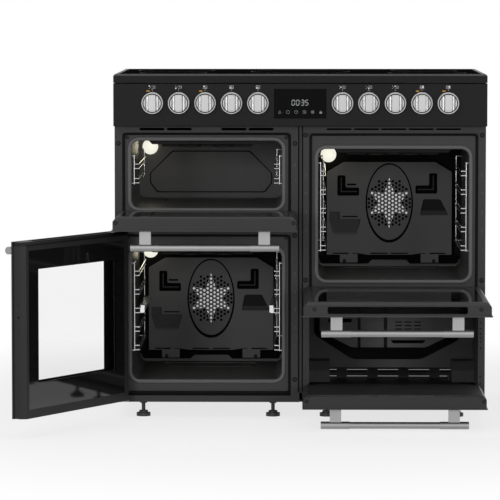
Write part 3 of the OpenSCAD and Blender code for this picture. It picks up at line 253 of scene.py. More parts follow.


# %% [markdown]
# The cavities are pressed from sheet and coated with vitreous enamel: black glass with tiny grey
# specks fused into it. The flange at the mouth stays dark under the door's seal, and its rolled lip
# is painted a lighter grey as a painted highlight. The rear wall, which faces the light, is painted
# paler than the sides as painted light. Painted shade darkens it round the fan cover and in the vent
# recess, and the slope of a pressed boss gets painted shade too. All of it could be painted on the
# mesh by hand. But it follows the press tool, so the depth of a point already tells which part of
# the pressing it lies on.

# %% Cavity enamel
# Each pair is the short stretch, in metres, over which one part of the pressing becomes the next.
LIP_FOOT = (-0.2566, -0.2558)
FLANGE_BACK = (-0.2532, -0.2515)
REAR_WALL = (0.1948, 0.1954)
BOSS_TOP = (0.1961, 0.1964)
BOSS_FOOT = (0.1984, 0.1989)
SHADE_DEPTH = (0.1976, 0.1986)
SHADE_EDGE = 0.001
# A height above the whole cooker, for a wall without painted shade.
NO_SHADE = 10.0


def specks(f):
    """Small grey grains in the enamel."""
    return f.noise(1400.0, 1.0).step(0.66, 0.74)


def cavity_enamel(name, shade_above):
    """Enamel of a cavity; painted shade darkens its rear wall above the given height, in metres."""
    f = Finish(name)
    x, y, z = f.axes()
    flow = f.noise(60.0, 3.0)
    # Painted highlight: the rolled lip is painted a lighter grey.
    lip_highlight = 1 - y.step(*LIP_FOOT)
    flange = 1 - y.step(*FLANGE_BACK)
    slope = y.step(*BOSS_TOP) * (1 - y.step(*BOSS_FOOT))
    # Painted shade: black on the rear wall above the given height, and on the slope of the boss.
    painted_shade = (y.step(*SHADE_DEPTH) * z.step(shade_above - SHADE_EDGE, shade_above) + slope).clamp()
    # Painted light: the rear wall is painted paler than the sides, since it faces the light.
    glass = f.mix(y.step(*REAR_WALL), grey(0.045, 0.02), grey(0.080, 0.01))
    wall = f.mix(specks(f), glass, grey(0.10))
    front = f.mix(lip_highlight, grey(0.024), grey(0.090))
    colour = f.mix(painted_shade, f.mix(flange, wall, front), grey(0.0015))
    rough = (0.36 + flow * 0.12 + flange * 0.12 + painted_shade * 0.5).clamp()
    return f.surface(Base_Color=colour, Roughness=rough, Specular_IOR_Level=0.3,
                     Normal=f.bump(flow, 0.0003))


finishes["cavity_enamel"] = cavity_enamel("cavity_enamel", NO_SHADE)
for side, shade_above in (("left", 0.125), ("right", 0.396)):
    special[f"{side}_oven_cavity"] = cavity_enamel(f"{side}_cavity_enamel", shade_above)
# The grill's rear wall gets no painted shade; the two ovens get it above their covers.
print("cavity enamel: the grill's is clean,", list(special), "have soot")


# %% [markdown]
# The hob sits in a frame of folded sheet. Its front has the black of the panel. Its top rim, seen
# at a glancing angle, is painted a little greyer as a painted sheen. The rim is the highest part of
# the frame, so a mask by height is enough and the frame keeps one material.

# %% Hob frame
RIM_SHEEN_EDGE = (0.9248, 0.9262)


def trim_paint():
    f = Finish("hob_trim")
    z = f.axes()[2]
    cloud = f.noise(CLOUD, 4.0)
    grain = f.noise(GRAIN, 2.0)
    # Painted sheen: the top rim is painted a lighter grey than the front.
    black = f.mix(z.step(*RIM_SHEEN_EDGE), grey(0.006), grey(0.060))
    return f.surface(Base_Color=f.mix(cloud * 0.2, black, grey(0.010)),
                     Roughness=0.42 + cloud * 0.1, Specular_IOR_Level=0.12,
                     Normal=f.bump(grain, PEEL))


finishes["hob_trim"] = trim_paint()
print("the rim is grey from", RIM_SHEEN_EDGE[1], "m up")


# %% [markdown]
# Two painted sheets close the storage compartment: its liner and, behind it, the service cover. The
# shapes in them are pressed away from the viewer, and hardly any light reaches the bottom of them.
# They are only a millimetre or two deep, too little for the lamps to show at this distance, so the
# paint is made darker there. Its depth tells where.

# %% Pressed sheets of the storage compartment
LINER_HOLLOW = (0.0985, 0.1002)
COVER_HOLLOW = (0.1409, 0.1425)


def pressed_sheet(name, level, hollow):
    """Painted sheet; hollow is the stretch of depth, in metres, over which it turns dark."""
    f = Finish(name)
    y = f.axes()[1]
    cloud = f.noise(CLOUD, 4.0)
    sheet = f.mix(cloud, grey(level * 0.9), grey(level * 1.1))
    return f.surface(Base_Color=f.mix(y.step(*hollow), sheet, grey(0.001)),
                     Roughness=0.44 + cloud * 0.1, Specular_IOR_Level=0.15)


special["storage_liner"] = pressed_sheet("liner_paint", 0.060, LINER_HOLLOW)
special["service_cover"] = pressed_sheet("service_cover_paint", 0.115, COVER_HOLLOW)
print("pressed sheets: storage_liner, service_cover")


# %% [markdown]
# The rear panel is painted a zinc grey outside. From the front it is seen from within, at the foot
# of the storage compartment, where it is dark; painted shade makes it darkest in the louvres and
# above them. Two materials on one sheet would need a second slot, so one graph tells outside and
# inside by depth.

# %% Rear panel
OUTER_FACE = (0.29955, 0.2997)
LOUVRE_HOLLOW = (0.2987, 0.2990)
DARK_ABOVE = (0.088, 0.100)


def rear_paint():
    f = Finish("rear_paint")
    x, y, z = f.axes()
    cloud = f.noise(CLOUD, 4.0)
    # Painted shade: black in the louvre hollows and above them.
    dark = (y.step(*LOUVRE_HOLLOW) + z.step(*DARK_ABOVE)).clamp()
    inside = f.mix(dark, grey(0.045), grey(0.0008))
    outside = f.mix(cloud, grey(0.05), grey(0.07))
    return f.surface(Base_Color=f.mix(y.step(*OUTER_FACE), inside, outside),
                     Roughness=0.45 + cloud * 0.1, Specular_IOR_Level=0.12)


special["rear_panel"] = rear_paint()
print("the rear panel is dark inside above", DARK_ABOVE[1], "m")


# %% [markdown]
# A fan cover is a plate in matt enamel with shapes pressed into it, away from the viewer. Most are
# narrow and are painted black as painted shade. Two are wide enough for light to reach their floor:
# a scoop that runs out towards its lower edge, and a tray. Their floors are painted grey as painted
# shade, the tray's darker in its upper part. The plate itself is painted lighter than its enamel as
# painted light. Both covers come from one press tool, so the places of the two are measured from
# the fan's axis and serve left and right alike. The axes are those of the joints in the record.

# %% Fan covers
joints = {joint["name"]: joint for joint in frame["record"]["behaviour"]["joints"]}
FAN_AXES = {side: joints[f"fan_{side}_spin"]["pos_m"] for side in ("left", "right")}
# Places from the fan's axis, and a depth, all in metres.
SCOOP_X = (-0.175, -0.075)
SCOOP_Z = (-0.090, -0.018)
SCOOP_STEP = (-0.1375, -0.0385)
TRAY_X = (0.080, 0.168)
TRAY_Z = (-0.040, 0.017)
TRAY_SHADE = -0.022
PRESSED = (0.1792, 0.1806)


def cover_enamel(name, axis_x, axis_z):
    """Painted light on the plate; painted shade: black in the narrow shapes, grey on the floors of
    the two wide ones.
    """
    f = Finish(name)
    x, y, z = f.axes()
    flow = f.noise(60.0, 3.0)
    dx = x - axis_x
    dz = z - axis_z
    scoop = dx.within(*SCOOP_X) * dz.within(*SCOOP_Z)
    scoop = scoop * ((dx < SCOOP_STEP[0]) + (dz < SCOOP_STEP[1])).clamp()
    tray = dx.within(*TRAY_X) * dz.within(*TRAY_Z)
    # Painted shade: the tray's floor is darker in its upper, deeper part.
    tray_floor = f.mix(dz < TRAY_SHADE, grey(0.020), grey(0.050))
    hollow = f.mix(tray, f.mix(scoop, grey(0.0008), grey(0.068)), tray_floor)
    # Painted light: the plate is painted lighter than its enamel.
    plate = f.mix(specks(f), grey(0.115), grey(0.16))
    pressed = y.step(*PRESSED)
    return f.surface(Base_Color=f.mix(pressed, plate, hollow), Specular_IOR_Level=0.12,
                     Roughness=(0.46 + flow * 0.12 + pressed * 0.4).clamp(),
                     Normal=f.bump(flow, 0.0002))


for side, (x, y, z) in FAN_AXES.items():
    special[f"fan_cover_{side}"] = cover_enamel(f"cover_enamel_{side}", x, z)
print("fan axes in metres:", FAN_AXES)


# %% [markdown]
# The side-hinged door has the satin of the other doors, but its upper edge is seen from above and
# stays black. The height of that edge is read from the frame, so the mask follows the door if its
# height changes.

# %% Side-hinged door
BLACK_EDGE = 11.0 * MM
EDGE_FADE = 0.5 * MM


def side_door_paint():
    f = Finish("side_door_paint")
    z = f.axes()[2]
    cloud = f.noise(CLOUD, 4.0)
    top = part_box("left_door_frame")[1].z
    edge = z.step(top - BLACK_EDGE, top - BLACK_EDGE + EDGE_FADE)
    satin = f.mix(cloud, grey(0.013), grey(0.017))
    return f.surface(Base_Color=f.mix(edge, satin, grey(0.001)), Roughness=0.42 + cloud * 0.1,
                     Specular_IOR_Level=0.22)


special["left_door_frame"] = side_door_paint()
print("upper edge of the side-hinged door, mm:", round(BLACK_EDGE / MM, 1))


# %% [markdown]
# Bare metal gets its character from the way it was worked. The door handles and the oven runners
# are brushed along their length, so the scratches are a noise that is stretched sixty times along
# one axis. It moves roughness and height. Metals carry their colour in Base Color.

# %% Brushed steel
SCRATCH = 60.0
ALONG_X = 0
ALONG_Y = 1


def brushed(name, level, along, roughness):
    """Metal with scratches along one axis."""
    f = Finish(name)
    factors = [1.0 if axis == along else SCRATCH for axis in range(3)]
    lines = f.noise(40.0, 5.0, f.stretch(*factors))
    soft = f.noise(14.0)
    colour = f.mix(soft, grey(level * 0.92), grey(level * 1.06))
    return f.surface(Base_Color=colour, Metallic=1.0, Roughness=roughness - 0.08 + lines * 0.16,
                     Normal=f.bump(lines, 0.00003))


finishes["runner_steel"] = brushed("runner_steel", 0.7, ALONG_Y, 0.28)
finishes["handle_steel"] = brushed("handle_steel", 0.30, ALONG_X, 0.42)
print("brushed: runners along Y, handles along X")


# %% [markdown]
# The racks are plated wire, nearly a mirror. The fans are plain steel sheet, duller but with the
# same even skin. A perfect mirror would show nothing but the white page and look cut out of paper,
# so a haze of a few millimetres moves the roughness and the normal a little.

# %% Chrome and fan steel
def polished(name, level, roughness):
    f = Finish(name)
    haze = f.noise(300.0)
    return f.surface(Base_Color=f.mix(haze, grey(level * 0.94), grey(level)), Metallic=1.0,
                     Roughness=roughness + haze * 0.08, Normal=f.bump(haze, 0.00002))


finishes["chrome_wire"] = polished("chrome_wire", 0.60, 0.16)
finishes["fan_steel"] = polished("fan_steel", 0.62, 0.34)
print("polished: racks and fans")


# %% [markdown]
# Hidden sheets are left in their zinc coat, which freezes into pale crystals of different greys. A
# picture of such a sheet would have to repeat. A Voronoi texture goes on without end: it gives each
# crystal its own colour, and one part of that colour is its grey.

# %% Zinc sheet
CRYSTALS_PER_METRE = 90.0


def sheet_zinc(name, level):
    f = Finish(name)
    crystal = f.add("ShaderNodeTexVoronoi", {},
                    {"Vector": f.place(), "Scale": CRYSTALS_PER_METRE}, "Color")
    share = f.add("ShaderNodeSeparateColor", {}, {0: crystal})
    return f.surface(Base_Color=f.mix(share, grey(level * 0.8), grey(level * 1.1)), Metallic=1.0,
                     Roughness=0.35 + share * 0.15)


finishes["galvanised"] = sheet_zinc("galvanised", 0.3)
print("zinc sheet: crystals of about", round(1 / CRYSTALS_PER_METRE / MM), "mm")


# %% [markdown]
# The heating rods under the roofs are steel tubes. Heat has oxidised them to a patchy, almost black
# grey with a trace of brown, so they are hardly metallic any more. One noise of patches, a
# centimetre or two wide, moves their colour, their roughness and their skin together.

# %% Heating rods
def heated_tube():
    f = Finish("element_sheath")
    patch = f.noise(70.0, 4.0)
    return f.surface(Base_Color=f.mix(patch, grey(0.003), tone((0.008, 0.007, 0.006))),
                     Metallic=0.2, Roughness=0.55 + patch * 0.2, Specular_IOR_Level=0.2,
                     Normal=f.bump(patch, 0.0001))


finishes["element_sheath"] = heated_tube()
print("heating rods: oxidised")


# %% [markdown]
# A knob is turned from bar stock and then brushed. The rings round its axis come from the distance
# to the axis, so this finish is made once for each knob, with its centre read from the frame. The
# small lands between the rings catch the light as a soft fan, the way a satin dial does. A groove
# runs round the grip, and painted shade makes it dark.

# %% Knob metal
RINGS_PER_METRE = 4200.0
GROOVE_INNER = (0.0232, 0.0240)
GROOVE_OUTER = (0.0258, 0.0266)


def distance(a, b):
    return (a * a + b * b) ** 0.5


def knob_metal(name, centre_x, centre_z):
    f = Finish(name)
    x, y, z = f.axes()
    radius = distance(x - centre_x, z - centre_z)
    wobble = f.noise(60.0)
    rings = f.add("ShaderNodeTexNoise", {"noise_dimensions": "1D"},
                  {"W": radius * RINGS_PER_METRE + wobble * 0.6, "Scale": 1.0, "Detail": 2.0})
    # Painted shade: the groove round the grip is darkened.
    groove_shade = radius.step(*GROOVE_INNER) * (1 - radius.step(*GROOVE_OUTER))
    metal = f.mix(rings, grey(0.38), grey(0.50))
    return f.surface(Base_Color=f.mix(groove_shade, metal, grey(0.05)), Metallic=1.0,
                     Roughness=0.26 + rings * 0.14, Normal=f.bump(rings, PEEL))


knobs = [name for name in frame["nodes"] if slots[name] == "knob_metal"]
for name in knobs:
    low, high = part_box(name)
    special[name] = knob_metal(name, (low.x + high.x) / 2, (low.z + high.z) / 2)
print("knobs:", len(knobs))


# %% [markdown]
# The clock sits behind a dark window, and the storage door carries a plain black pane. Nothing
# shows through either, so an opaque dark colour with a clear gloss does for glass. A little dust
# makes the gloss uneven.

# %% Dark glass
def dark_glass(name, level, roughness, shine):
    f = Finish(name)
    dust = f.noise(30.0)
    return f.surface(Base_Color=f.mix(dust, grey(level * 0.8), grey(level * 1.2)),
                     Roughness=roughness + dust * 0.05, Specular_IOR_Level=shine)


finishes["display_glass"] = dark_glass("display_glass", 0.002, 0.12, 0.06)
special["storage_door_outer_glass"] = dark_glass("storage_glass", 0.004, 0.05, 0.5)
print("dark glass: display and storage door")


# %% [markdown]
# The hob is black glass ceramic with a fine dot screen and the printed ring of each heating zone.
# A ring is where the distance to the zone's centre equals its radius. Seen almost edge on, a real
# hob mirrors the dark kitchen behind it. A white page has no such thing to mirror, so the gloss is
# a coat that fades out at a glancing angle.

# %% Hob glass
# Each zone: X and Y of its centre, and its width, in metres.
HOB_ZONES = [(-0.345, -0.135, 0.180), (-0.345, 0.120, 0.210), (0.0, 0.010, 0.270),
             (0.345, -0.135, 0.210), (0.345, 0.120, 0.180)]
LINE_EDGE = (0.0008, 0.0014)
GLOSS_ENDS = (0.45, 0.80)


def hob_ceramic():
    f = Finish("hob_ceramic")
    x, y, z = f.axes()
    line = 0.0
    for centre_x, centre_y, width in HOB_ZONES:
        radius = distance(x - centre_x, y - centre_y)
        line = line + (1 - abs(radius - width / 2).step(*LINE_EDGE))
    dust = f.noise(18.0)
    dots = f.noise(700.0, 1.0).step(0.62, 0.7)
    base = f.mix(dots * 0.5, grey(0.004), grey(0.02))
    return f.surface(Base_Color=f.mix(line.clamp() * 0.8, base, grey(0.25)),
                     Roughness=0.05 + dust * 0.06, Specular_IOR_Level=0.0,
                     Coat_Weight=1 - f.facing().step(*GLOSS_ENDS))


finishes["hob_ceramic"] = hob_ceramic()
print("heating zones:", len(HOB_ZONES))


# %% [markdown]
# The indicator lenses on the panel and the lenses of the oven lamps are lit. Ribs in the glass make
# the light uneven. A lens could be clear glass with a lamp behind it, which takes many samples to
# render; a colour that glows by itself looks the same from outside.

# %% Lit lenses
def glow(name, colour, strength, edge=0.8, body=1.0):
    """A lit lens; edge and body are shares of its colour, for its darker ribs and when unlit."""
    f = Finish(name)
    ribs = f.noise(160.0, 2.0, f.stretch(1.0, 0.2, 6.0))
    lit = f.mix(ribs, tone(colour, edge), tone(colour))
    unlit = f.mix(ribs * 0.2, tone(colour, body), grey(0.0))
    return f.surface(Base_Color=unlit, Roughness=0.2 + ribs * 0.1, Emission_Color=lit,
                     Emission_Strength=strength)


finishes["amber_lens"] = glow("amber_lens", (0.44, 0.21, 0.012), 0.08)
finishes["lamp_glass"] = glow("lamp_glass", (0.93, 0.92, 0.80), 0.95, 0.9, 0.1)
print("lit lenses: amber_lens, lamp_glass")


# %% [markdown]
# The rest are mouldings: silicone seals, feet, switch bodies and the pressed insulation in a heater.
# A plain moulding has a fine spark-eroded texture, so its highlights are broad and soft. They differ
# in colour and roughness only, so one function makes them all, and later the printed signs too.

# %% Mouldings
def moulded(name, colour, roughness, grain=500.0, depth=0.00005, shine=0.5):
    """Plastic, rubber or print; depth is the height of its grain in metres."""
    f = Finish(name)
    fine = f.noise(grain, 3.0)
    slow = f.noise(20.0)
    return f.surface(Base_Color=f.mix(slow, tone(colour, 0.85), tone(colour, 1.1)),
                     Roughness=roughness + fine * 0.1, Specular_IOR_Level=shine,
                     Normal=f.bump(fine, depth))


finishes["heater"] = moulded("heater", (0.5, 0.47, 0.4), 0.8)
finishes["switch_plastic"] = moulded("switch_plastic", (0.6, 0.57, 0.48), 0.5)
finishes["seal_rubber"] = moulded("seal_rubber", (0.002, 0.002, 0.002), 0.6, shine=0.1)
finishes["foot_plastic"] = moulded("foot_plastic", (0.015, 0.015, 0.016), 0.5)
print("finishes by slot:", len(finishes))


# %% [markdown]
# The three oven and grill doors carry two panes each, black from a fired print along their borders
# and clear in the middle. One alpha does both: it is 1 under the print, low in the window when seen
# square on, and rises at a glancing angle, where real glass turns into a mirror. Real glass that
# bends light would be noisy here, and in a flat pane nobody would see the difference.
#
# Two of the doors lie flat, so their panes face up and the window is a box in X and Y. The print is
# wider towards the hinge than at the free edge.

# %% Panes of the grill door and the right oven door
BORDER = 67 * MM
PRINT_FADE = 0.0012
# Widths of the print, in millimetres: towards the cooker, and at the free edge.
PRINTS = {"grill": (66, 58), "right": (91, 74)}


def window_glass(f, spans, square_on, glancing, power):
    """Print with a clear window; a span is a coordinate with the window's two ends along it."""
    window = 1.0
    for value, low, high in spans:
        inside = value.step(low - PRINT_FADE, low)
        window = window * inside * (1 - value.step(high, high + PRINT_FADE))
    film = square_on + glancing * f.facing() ** power
    alpha = 1 - window * (1 - film)
    dust = f.noise(25.0)
    return f.surface(Base_Color=grey(0.006), Roughness=0.03 + dust * 0.04, Alpha=alpha.clamp(),
                     Specular_IOR_Level=0.6)


for door, (near, free) in PRINTS.items():
    low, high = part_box(f"{door}_door_outer_glass")
    for layer in ("outer", "inner"):
        node = f"{door}_door_{layer}_glass"
        f = Finish(node)
        x, y, z = f.axes()
        spans = [(x, low.x + BORDER, high.x - BORDER),
                 (y, low.y + free * MM, high.y - near * MM)]
        special[node] = window_glass(f, spans, 0.05, 0.90, 4.0)
    print(f"window of the {door} door, mm:", round((high.x - low.x - 2 * BORDER) / MM))


# %% [markdown]
# The side-hinged door stands open at an angle, so the window can't be a box in X and Y. Its span is
# the distance from the door's pin along the open door, which is a sum of X and Y with the cosine
# and the sine of that angle. The pin and the angle are those of the door's joint in the record.

# %% Panes of the side-hinged door
swing = joints["left_oven_door_swing"]
SIDE_OPEN = math.radians(-swing["range_deg"][0])
SIDE_PIN = Vector((swing["pos_m"][0], swing["pos_m"][1], 0))
SIDE_DOOR_W = 486.5 * MM
PIN_IN = 8 * MM
LOWER_PRINT = 91 * MM
UPPER_PRINT = 74 * MM

low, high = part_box("left_door_outer_glass")
for layer in ("outer", "inner"):
    node = f"left_door_{layer}_glass"
    f = Finish(node)
    x, y, z = f.axes()
    u = (x - SIDE_PIN.x) * math.cos(SIDE_OPEN) - (y - SIDE_PIN.y) * math.sin(SIDE_OPEN)
    spans = [(u, BORDER - PIN_IN, SIDE_DOOR_W - BORDER - PIN_IN),
             (z, low.z + LOWER_PRINT, high.z - UPPER_PRINT)]
    special[node] = window_glass(f, spans, 0.02, 0.60, 5.0)
print("window of the side-hinged door, mm:", round((SIDE_DOOR_W - 2 * BORDER) / MM))


# %% [markdown]
# Now each node of the frame gets its finish: its own if it has one, or else that of its slot. A
# loop over all nodes leaves none out, and a node without a finish would stop the script here.

# %% Dress the nodes
for name, node in frame["nodes"].items():
    node.data.materials.clear()
    node.data.materials.append(special[name] if name in special else finishes[slots[name]])
print("dressed:", len(frame["nodes"]), "nodes,", len(special), "of them with a finish of their own")


# %% [markdown]
# What is left are the small things on the skin. They are meshes too, made by one helper that
# collects faces in millimetres and hands them over as an object on its body. Most are flat outlines
# given a little thickness, or profiles turned round an axis that points out of a panel.

# %% A helper that collects faces
class Mesh:
    """Faces of one piece, in millimetres, in the frame of the whole cooker."""

    def __init__(self):
        self.bm = bmesh.new()

    def skin(self, rings):
        """Joins closed loops of equal length with faces."""
        count = len(rings[0])
        for near, far in zip(rings, rings[1:]):
            for i in range(count):
                j = (i + 1) % count
                self.bm.faces.new((near[i], far[i], far[j], near[j]))

    def prism(self, points, front, back):
        """A flat outline of (x, z) points, from the front plane to the back plane."""
        rings = [[self.bm.verts.new((x, y, z)) for x, z in points] for y in (front, back)]
        self.bm.faces.new(rings[0])
        self.bm.faces.new(list(reversed(rings[1])))
        self.skin(rings)

    def turned(self, centre, profile, turn=Matrix.Identity(3), steps=24):
        """A profile of (radius, depth, lobe) turned round an axis along Y, which turn may swing.

        The lobe is the share by which the radius grows and shrinks four times in a round.
        """
        rings = []
        for radius, depth, lobe in profile:
            ring = []
            for i in range(steps):
                angle = 2 * math.pi * i / steps
                r = radius * (1 + lobe * math.cos(4 * angle))
                spot = turn @ Vector((r * math.cos(angle), depth, r * math.sin(angle)))
                ring.append(self.bm.verts.new(Vector(centre) + spot))
            rings.append(ring)
        self.skin(rings)
        self.bm.faces.new(rings[-1])
        self.bm.faces.new(list(reversed(rings[0])))

    def hand_over(self, name, body, slot, material):
        """Makes the object, in metres, and puts it on its body."""
        bmesh.ops.recalc_face_normals(self.bm, faces=self.bm.faces)
        mesh = bpy.data.meshes.new(name)
        self.bm.to_mesh(mesh)
        self.bm.free()
        mesh.transform(Matrix.Scale(MM, 4))
        mesh.materials.append(material)
        obj = bpy.data.objects.new(name, mesh)
        bpy.context.scene.collection.objects.link(obj)
        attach(obj, body)


print("shapes: prisms and turned profiles")


# %% [markdown]
# Screws hold the front frames and the flanges of the cavities. Each is a domed head with a
# four-lobed recess, on a thin black washer that shows round it as a ring. A head is under a
# millimetre high. One profile, turned round the screw's axis, makes head and washer together, and
# the depth of a point tells the black washer from the grey head.

# %% Screws of the frames and flanges
FRAME_Y = -260.0
FLANGE_Y = -255.0
WIDE = 6.6
NARROW = 5.2
HEAD = [(3.6, -0.3, 0), (3.4, -0.6, 0), (2.9, -0.85, 0), (2.2, -0.95, 0), (1.5, -0.95, 0),
        (1.35, -0.95, 0.3), (1.2, -0.4, 0.3)]
WASHER_TOP = (0.42, 0.34)
LEFT_FRAME = [(-488.8, 743), (-14.2, 743), (-14.2, 495), (-14.2, 105)]
RIGHT_FRAME = [(x, z) for z in (765.4, 374.4) for x in (15, 489)]
FLANGES = [(-465.4, 759), (-37.1, 759), (-464.9, 488.4), (-37.6, 488.4)]


def screw_paint(name, plane):
    """Black up to the top of the washer, grey on the head; plane is in millimetres."""
    f = Finish(name)
    y = f.axes()[1]
    cloud = f.noise(200.0)
    head = 1 - y.step(*((plane - height) * MM for height in WASHER_TOP))
    return f.surface(Base_Color=f.mix(head, grey(0.0010), grey(0.022)),
                     Roughness=0.45 + cloud * 0.1, Specular_IOR_Level=0.12)


def screws(name, body, places, plane, washer=NARROW):
    """Domed heads at (x, z) places in one plane, on washers of one radius."""
    m = Mesh()
    for x, z in places:
        m.turned((x, plane, z), [(washer, 0.0, 0), (washer, -0.25, 0)] + HEAD)
    m.hand_over(name, body, "seal_rubber", screw_paint(name, plane))


screws("frame_screws_left", "cabinet", LEFT_FRAME, FRAME_Y, WIDE)
screws("frame_screws_right", "cabinet", RIGHT_FRAME, FRAME_Y, WIDE)
screws("flange_screws", "cabinet", FLANGES, FLANGE_Y)
print("screws on frames and flanges:", len(LEFT_FRAME + RIGHT_FRAME + FLANGES))


# %% [markdown]
# Three doors show a pair of the same screws in their free edge. A door's screws ride on its body, so
# they go with it when it closes. Two more screws hold each fan cover by its lower tabs, at the same
# distance on both sides of the fan's axis.

# %% Screws of the doors and fan covers
# Each door: its body, X of its two screws and their height, in millimetres.
DOOR_SCREWS = {
    "grill": ("grill_door", (-481.3, -17.2), 547.7),
    "right": ("right_oven_door", (37.1, 463.2), 341.5),
    "storage": ("storage_door", (18, 482.9), 78.5),
}
COVER_Y = 179.0
TAB_X = 126.0
TAB_Z = -164.0


def front_y(node):
    """The plane of a node's front face, in millimetres."""
    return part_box(node)[0].y / MM


for door, (body, columns, z) in DOOR_SCREWS.items():
    screws(f"{door}_door_screws", body, [(x, z) for x in columns], front_y(f"{door}_door_frame"))
cover_tabs = [(x / MM + side * TAB_X, z / MM + TAB_Z)
              for x, y, z in FAN_AXES.values() for side in (-1, 1)]
screws("cover_screws", "cabinet", cover_tabs, COVER_Y)
print("screws on doors and covers:", 2 * len(DOOR_SCREWS) + len(cover_tabs))


# %% [markdown]
# The free edges of the grill door and the storage door show no air slot: a strip of the same
# painted sheet closes each. Black strips of painted shadow lie in the gaps beside the centre post
# and under the flange of the left oven, and a fine gauze lies in the louvres of the rear panel. All
# are thin strips with a small bevel, which catches a line of light as a folded edge does.

# %% Strips on the doors and painted shadow in the gaps
shade_black = coat("shade_black", 0.0015, 0.60, 0.05, PEEL / 2)
EDGE_IN = 26
COLUMN_W = 500
POST_Z = (70, 789)
GAP_Y = -258.0
# Each shadow strip: its span in X and in Z, its plane, its thickness and its bevel, in millimetres.
SHADOW_STRIPS = {
    "post_bead_left": ((-5.6, -2.2), POST_Z, FRAME_Y, 0.2, 0.1),
    "post_bead_right": ((6.7, 8.3), POST_Z, FRAME_Y, 0.2, 0.1),
    "gap_bead": ((4.7, 6.5), POST_Z, GAP_Y, 0.3, 0.2),
    "flange_bead": ((-478, -25), (61.0, 72.6), FRAME_Y, 0.3, 0.2),
}


def strip(name, body, slot, material, x_span, z_span, y, thick=0.4, bevel=0.3):
    """A thin strip on a face that looks forwards, with a small bevel all round."""
    m = Mesh()
    rings = []
    for inset, depth in ((0.0, 0.0), (0.0, -thick + bevel), (bevel, -thick)):
        x0, x1 = x_span[0] + inset, x_span[1] - inset
        z0, z1 = z_span[0] + inset, z_span[1] - inset
        corners = ((x0, z0), (x1, z0), (x1, z1), (x0, z1))
        rings.append([m.bm.verts.new((x, y + depth, z)) for x, z in corners])
    m.skin(rings)
    m.bm.faces.new(rings[-1])
    m.bm.faces.new(list(reversed(rings[0])))
    m.hand_over(name, body, slot, material)


strip("storage_edge_strip", "storage_door", "door_enamel", finishes["door_enamel"],
      (EDGE_IN, COLUMN_W - EDGE_IN), (64, 91), front_y("storage_door_frame"))
strip("grill_edge_strip", "grill_door", "door_enamel", finishes["door_enamel"],
      (EDGE_IN - COLUMN_W, -EDGE_IN), (531, 560), front_y("grill_door_frame"))
# Black strips of painted shadow in the gaps beside the post and under the flange.
for name, (x_span, z_span, y, thick, bevel) in SHADOW_STRIPS.items():
    strip(name, "cabinet", "seal_rubber", shade_black, x_span, z_span, y, thick, bevel)
print("strips and beads:", 2 + len(SHADOW_STRIPS))


# %% [markdown]
# The boss on the grill's rear wall is drawn in by a black line of painted shadow along its foot,
# where the enamel lies in a sharp corner. The line has to follow the boss exactly, so its points are
# taken from the construction model: all corners that lie in the plane of the boss's top, put in
# order by their angle and moved outwards to the foot.

# %% Painted shadow line round the grill's boss
BOSS_Y = 196.0
WALL_Y = 199.0
LINE_WIDTH = 3.2
LINE_HIGH = 0.2
boss = {(round(v.co.x / MM, 2), round(v.co.z / MM, 2))
        for v in frame["nodes"]["grill_cavity"].data.vertices if abs(v.co.y / MM - BOSS_Y) < 0.1}
mid_x = (min(x for x, z in boss) + max(x for x, z in boss)) / 2
mid_z = (min(z for x, z in boss) + max(z for x, z in boss)) / 2
half_x = max(x for x, z in boss) - mid_x
half_z = max(z for x, z in boss) - mid_z


def round_the_boss(point):
    """The angle at which a point lies, if the boss were round."""
    return math.atan2((point[1] - mid_z) / half_z, (point[0] - mid_x) / half_x)


foot = sorted(boss, key=round_the_boss)
line = Mesh()
rings = []
for grow, y in ((0.0, WALL_Y - LINE_HIGH), (LINE_WIDTH, WALL_Y - LINE_HIGH),
                (LINE_WIDTH, WALL_Y), (0.0, WALL_Y)):
    rings.append([line.bm.verts.new((mid_x + (x - mid_x) * (1 + grow / half_x), y,
                                     mid_z + (z - mid_z) * (1 + grow / half_z))) for x, z in foot])
line.skin(rings + rings[:1])
# The black line is painted shadow at the foot of the boss.
line.hand_over("boss_line", "cabinet", "cavity_enamel", shade_black)
print("points round the boss:", len(foot))


# %% [markdown]
# The gauze in the louvres is woven wire. Seen from the front it is far finer than a pixel, so its
# wires aren't modelled: half of the light passes, through an alpha that varies a little.

# %% Gauze in the louvres
GAUZE_Y = 299.9
GAUZE_X = (22, 478)
GAUZE_Z = (45, 130)
OPEN_SHARE = 0.50


def gauze(name, share):
    """Fine woven wire: a little of it is open, so what lies behind it shows through faintly."""
    f = Finish(name)
    weave = f.noise(3000.0, 0.0)
    return f.surface(Base_Color=grey(0.02), Metallic=0.5, Roughness=0.5, Alpha=share + weave * 0.1)


strip("louvre_gauze", "cabinet", "galvanised", gauze("wire_gauze", OPEN_SHARE),
      GAUZE_X, GAUZE_Z, GAUZE_Y, 0.2, 0.1)
print("gauze, mm:", GAUZE_X[1] - GAUZE_X[0], "x", GAUZE_Z[1] - GAUZE_Z[0])


# %% [markdown]
# The side-hinged door has three latch holes in its free edge. That edge stands at an angle, so the
# holes are placed by two directions of the open door: along it from the pin, and inwards through
# its thickness. How far the door reaches is measured on its frame. A hole is a black disc of painted
# shade, because nothing of its depth would be seen.

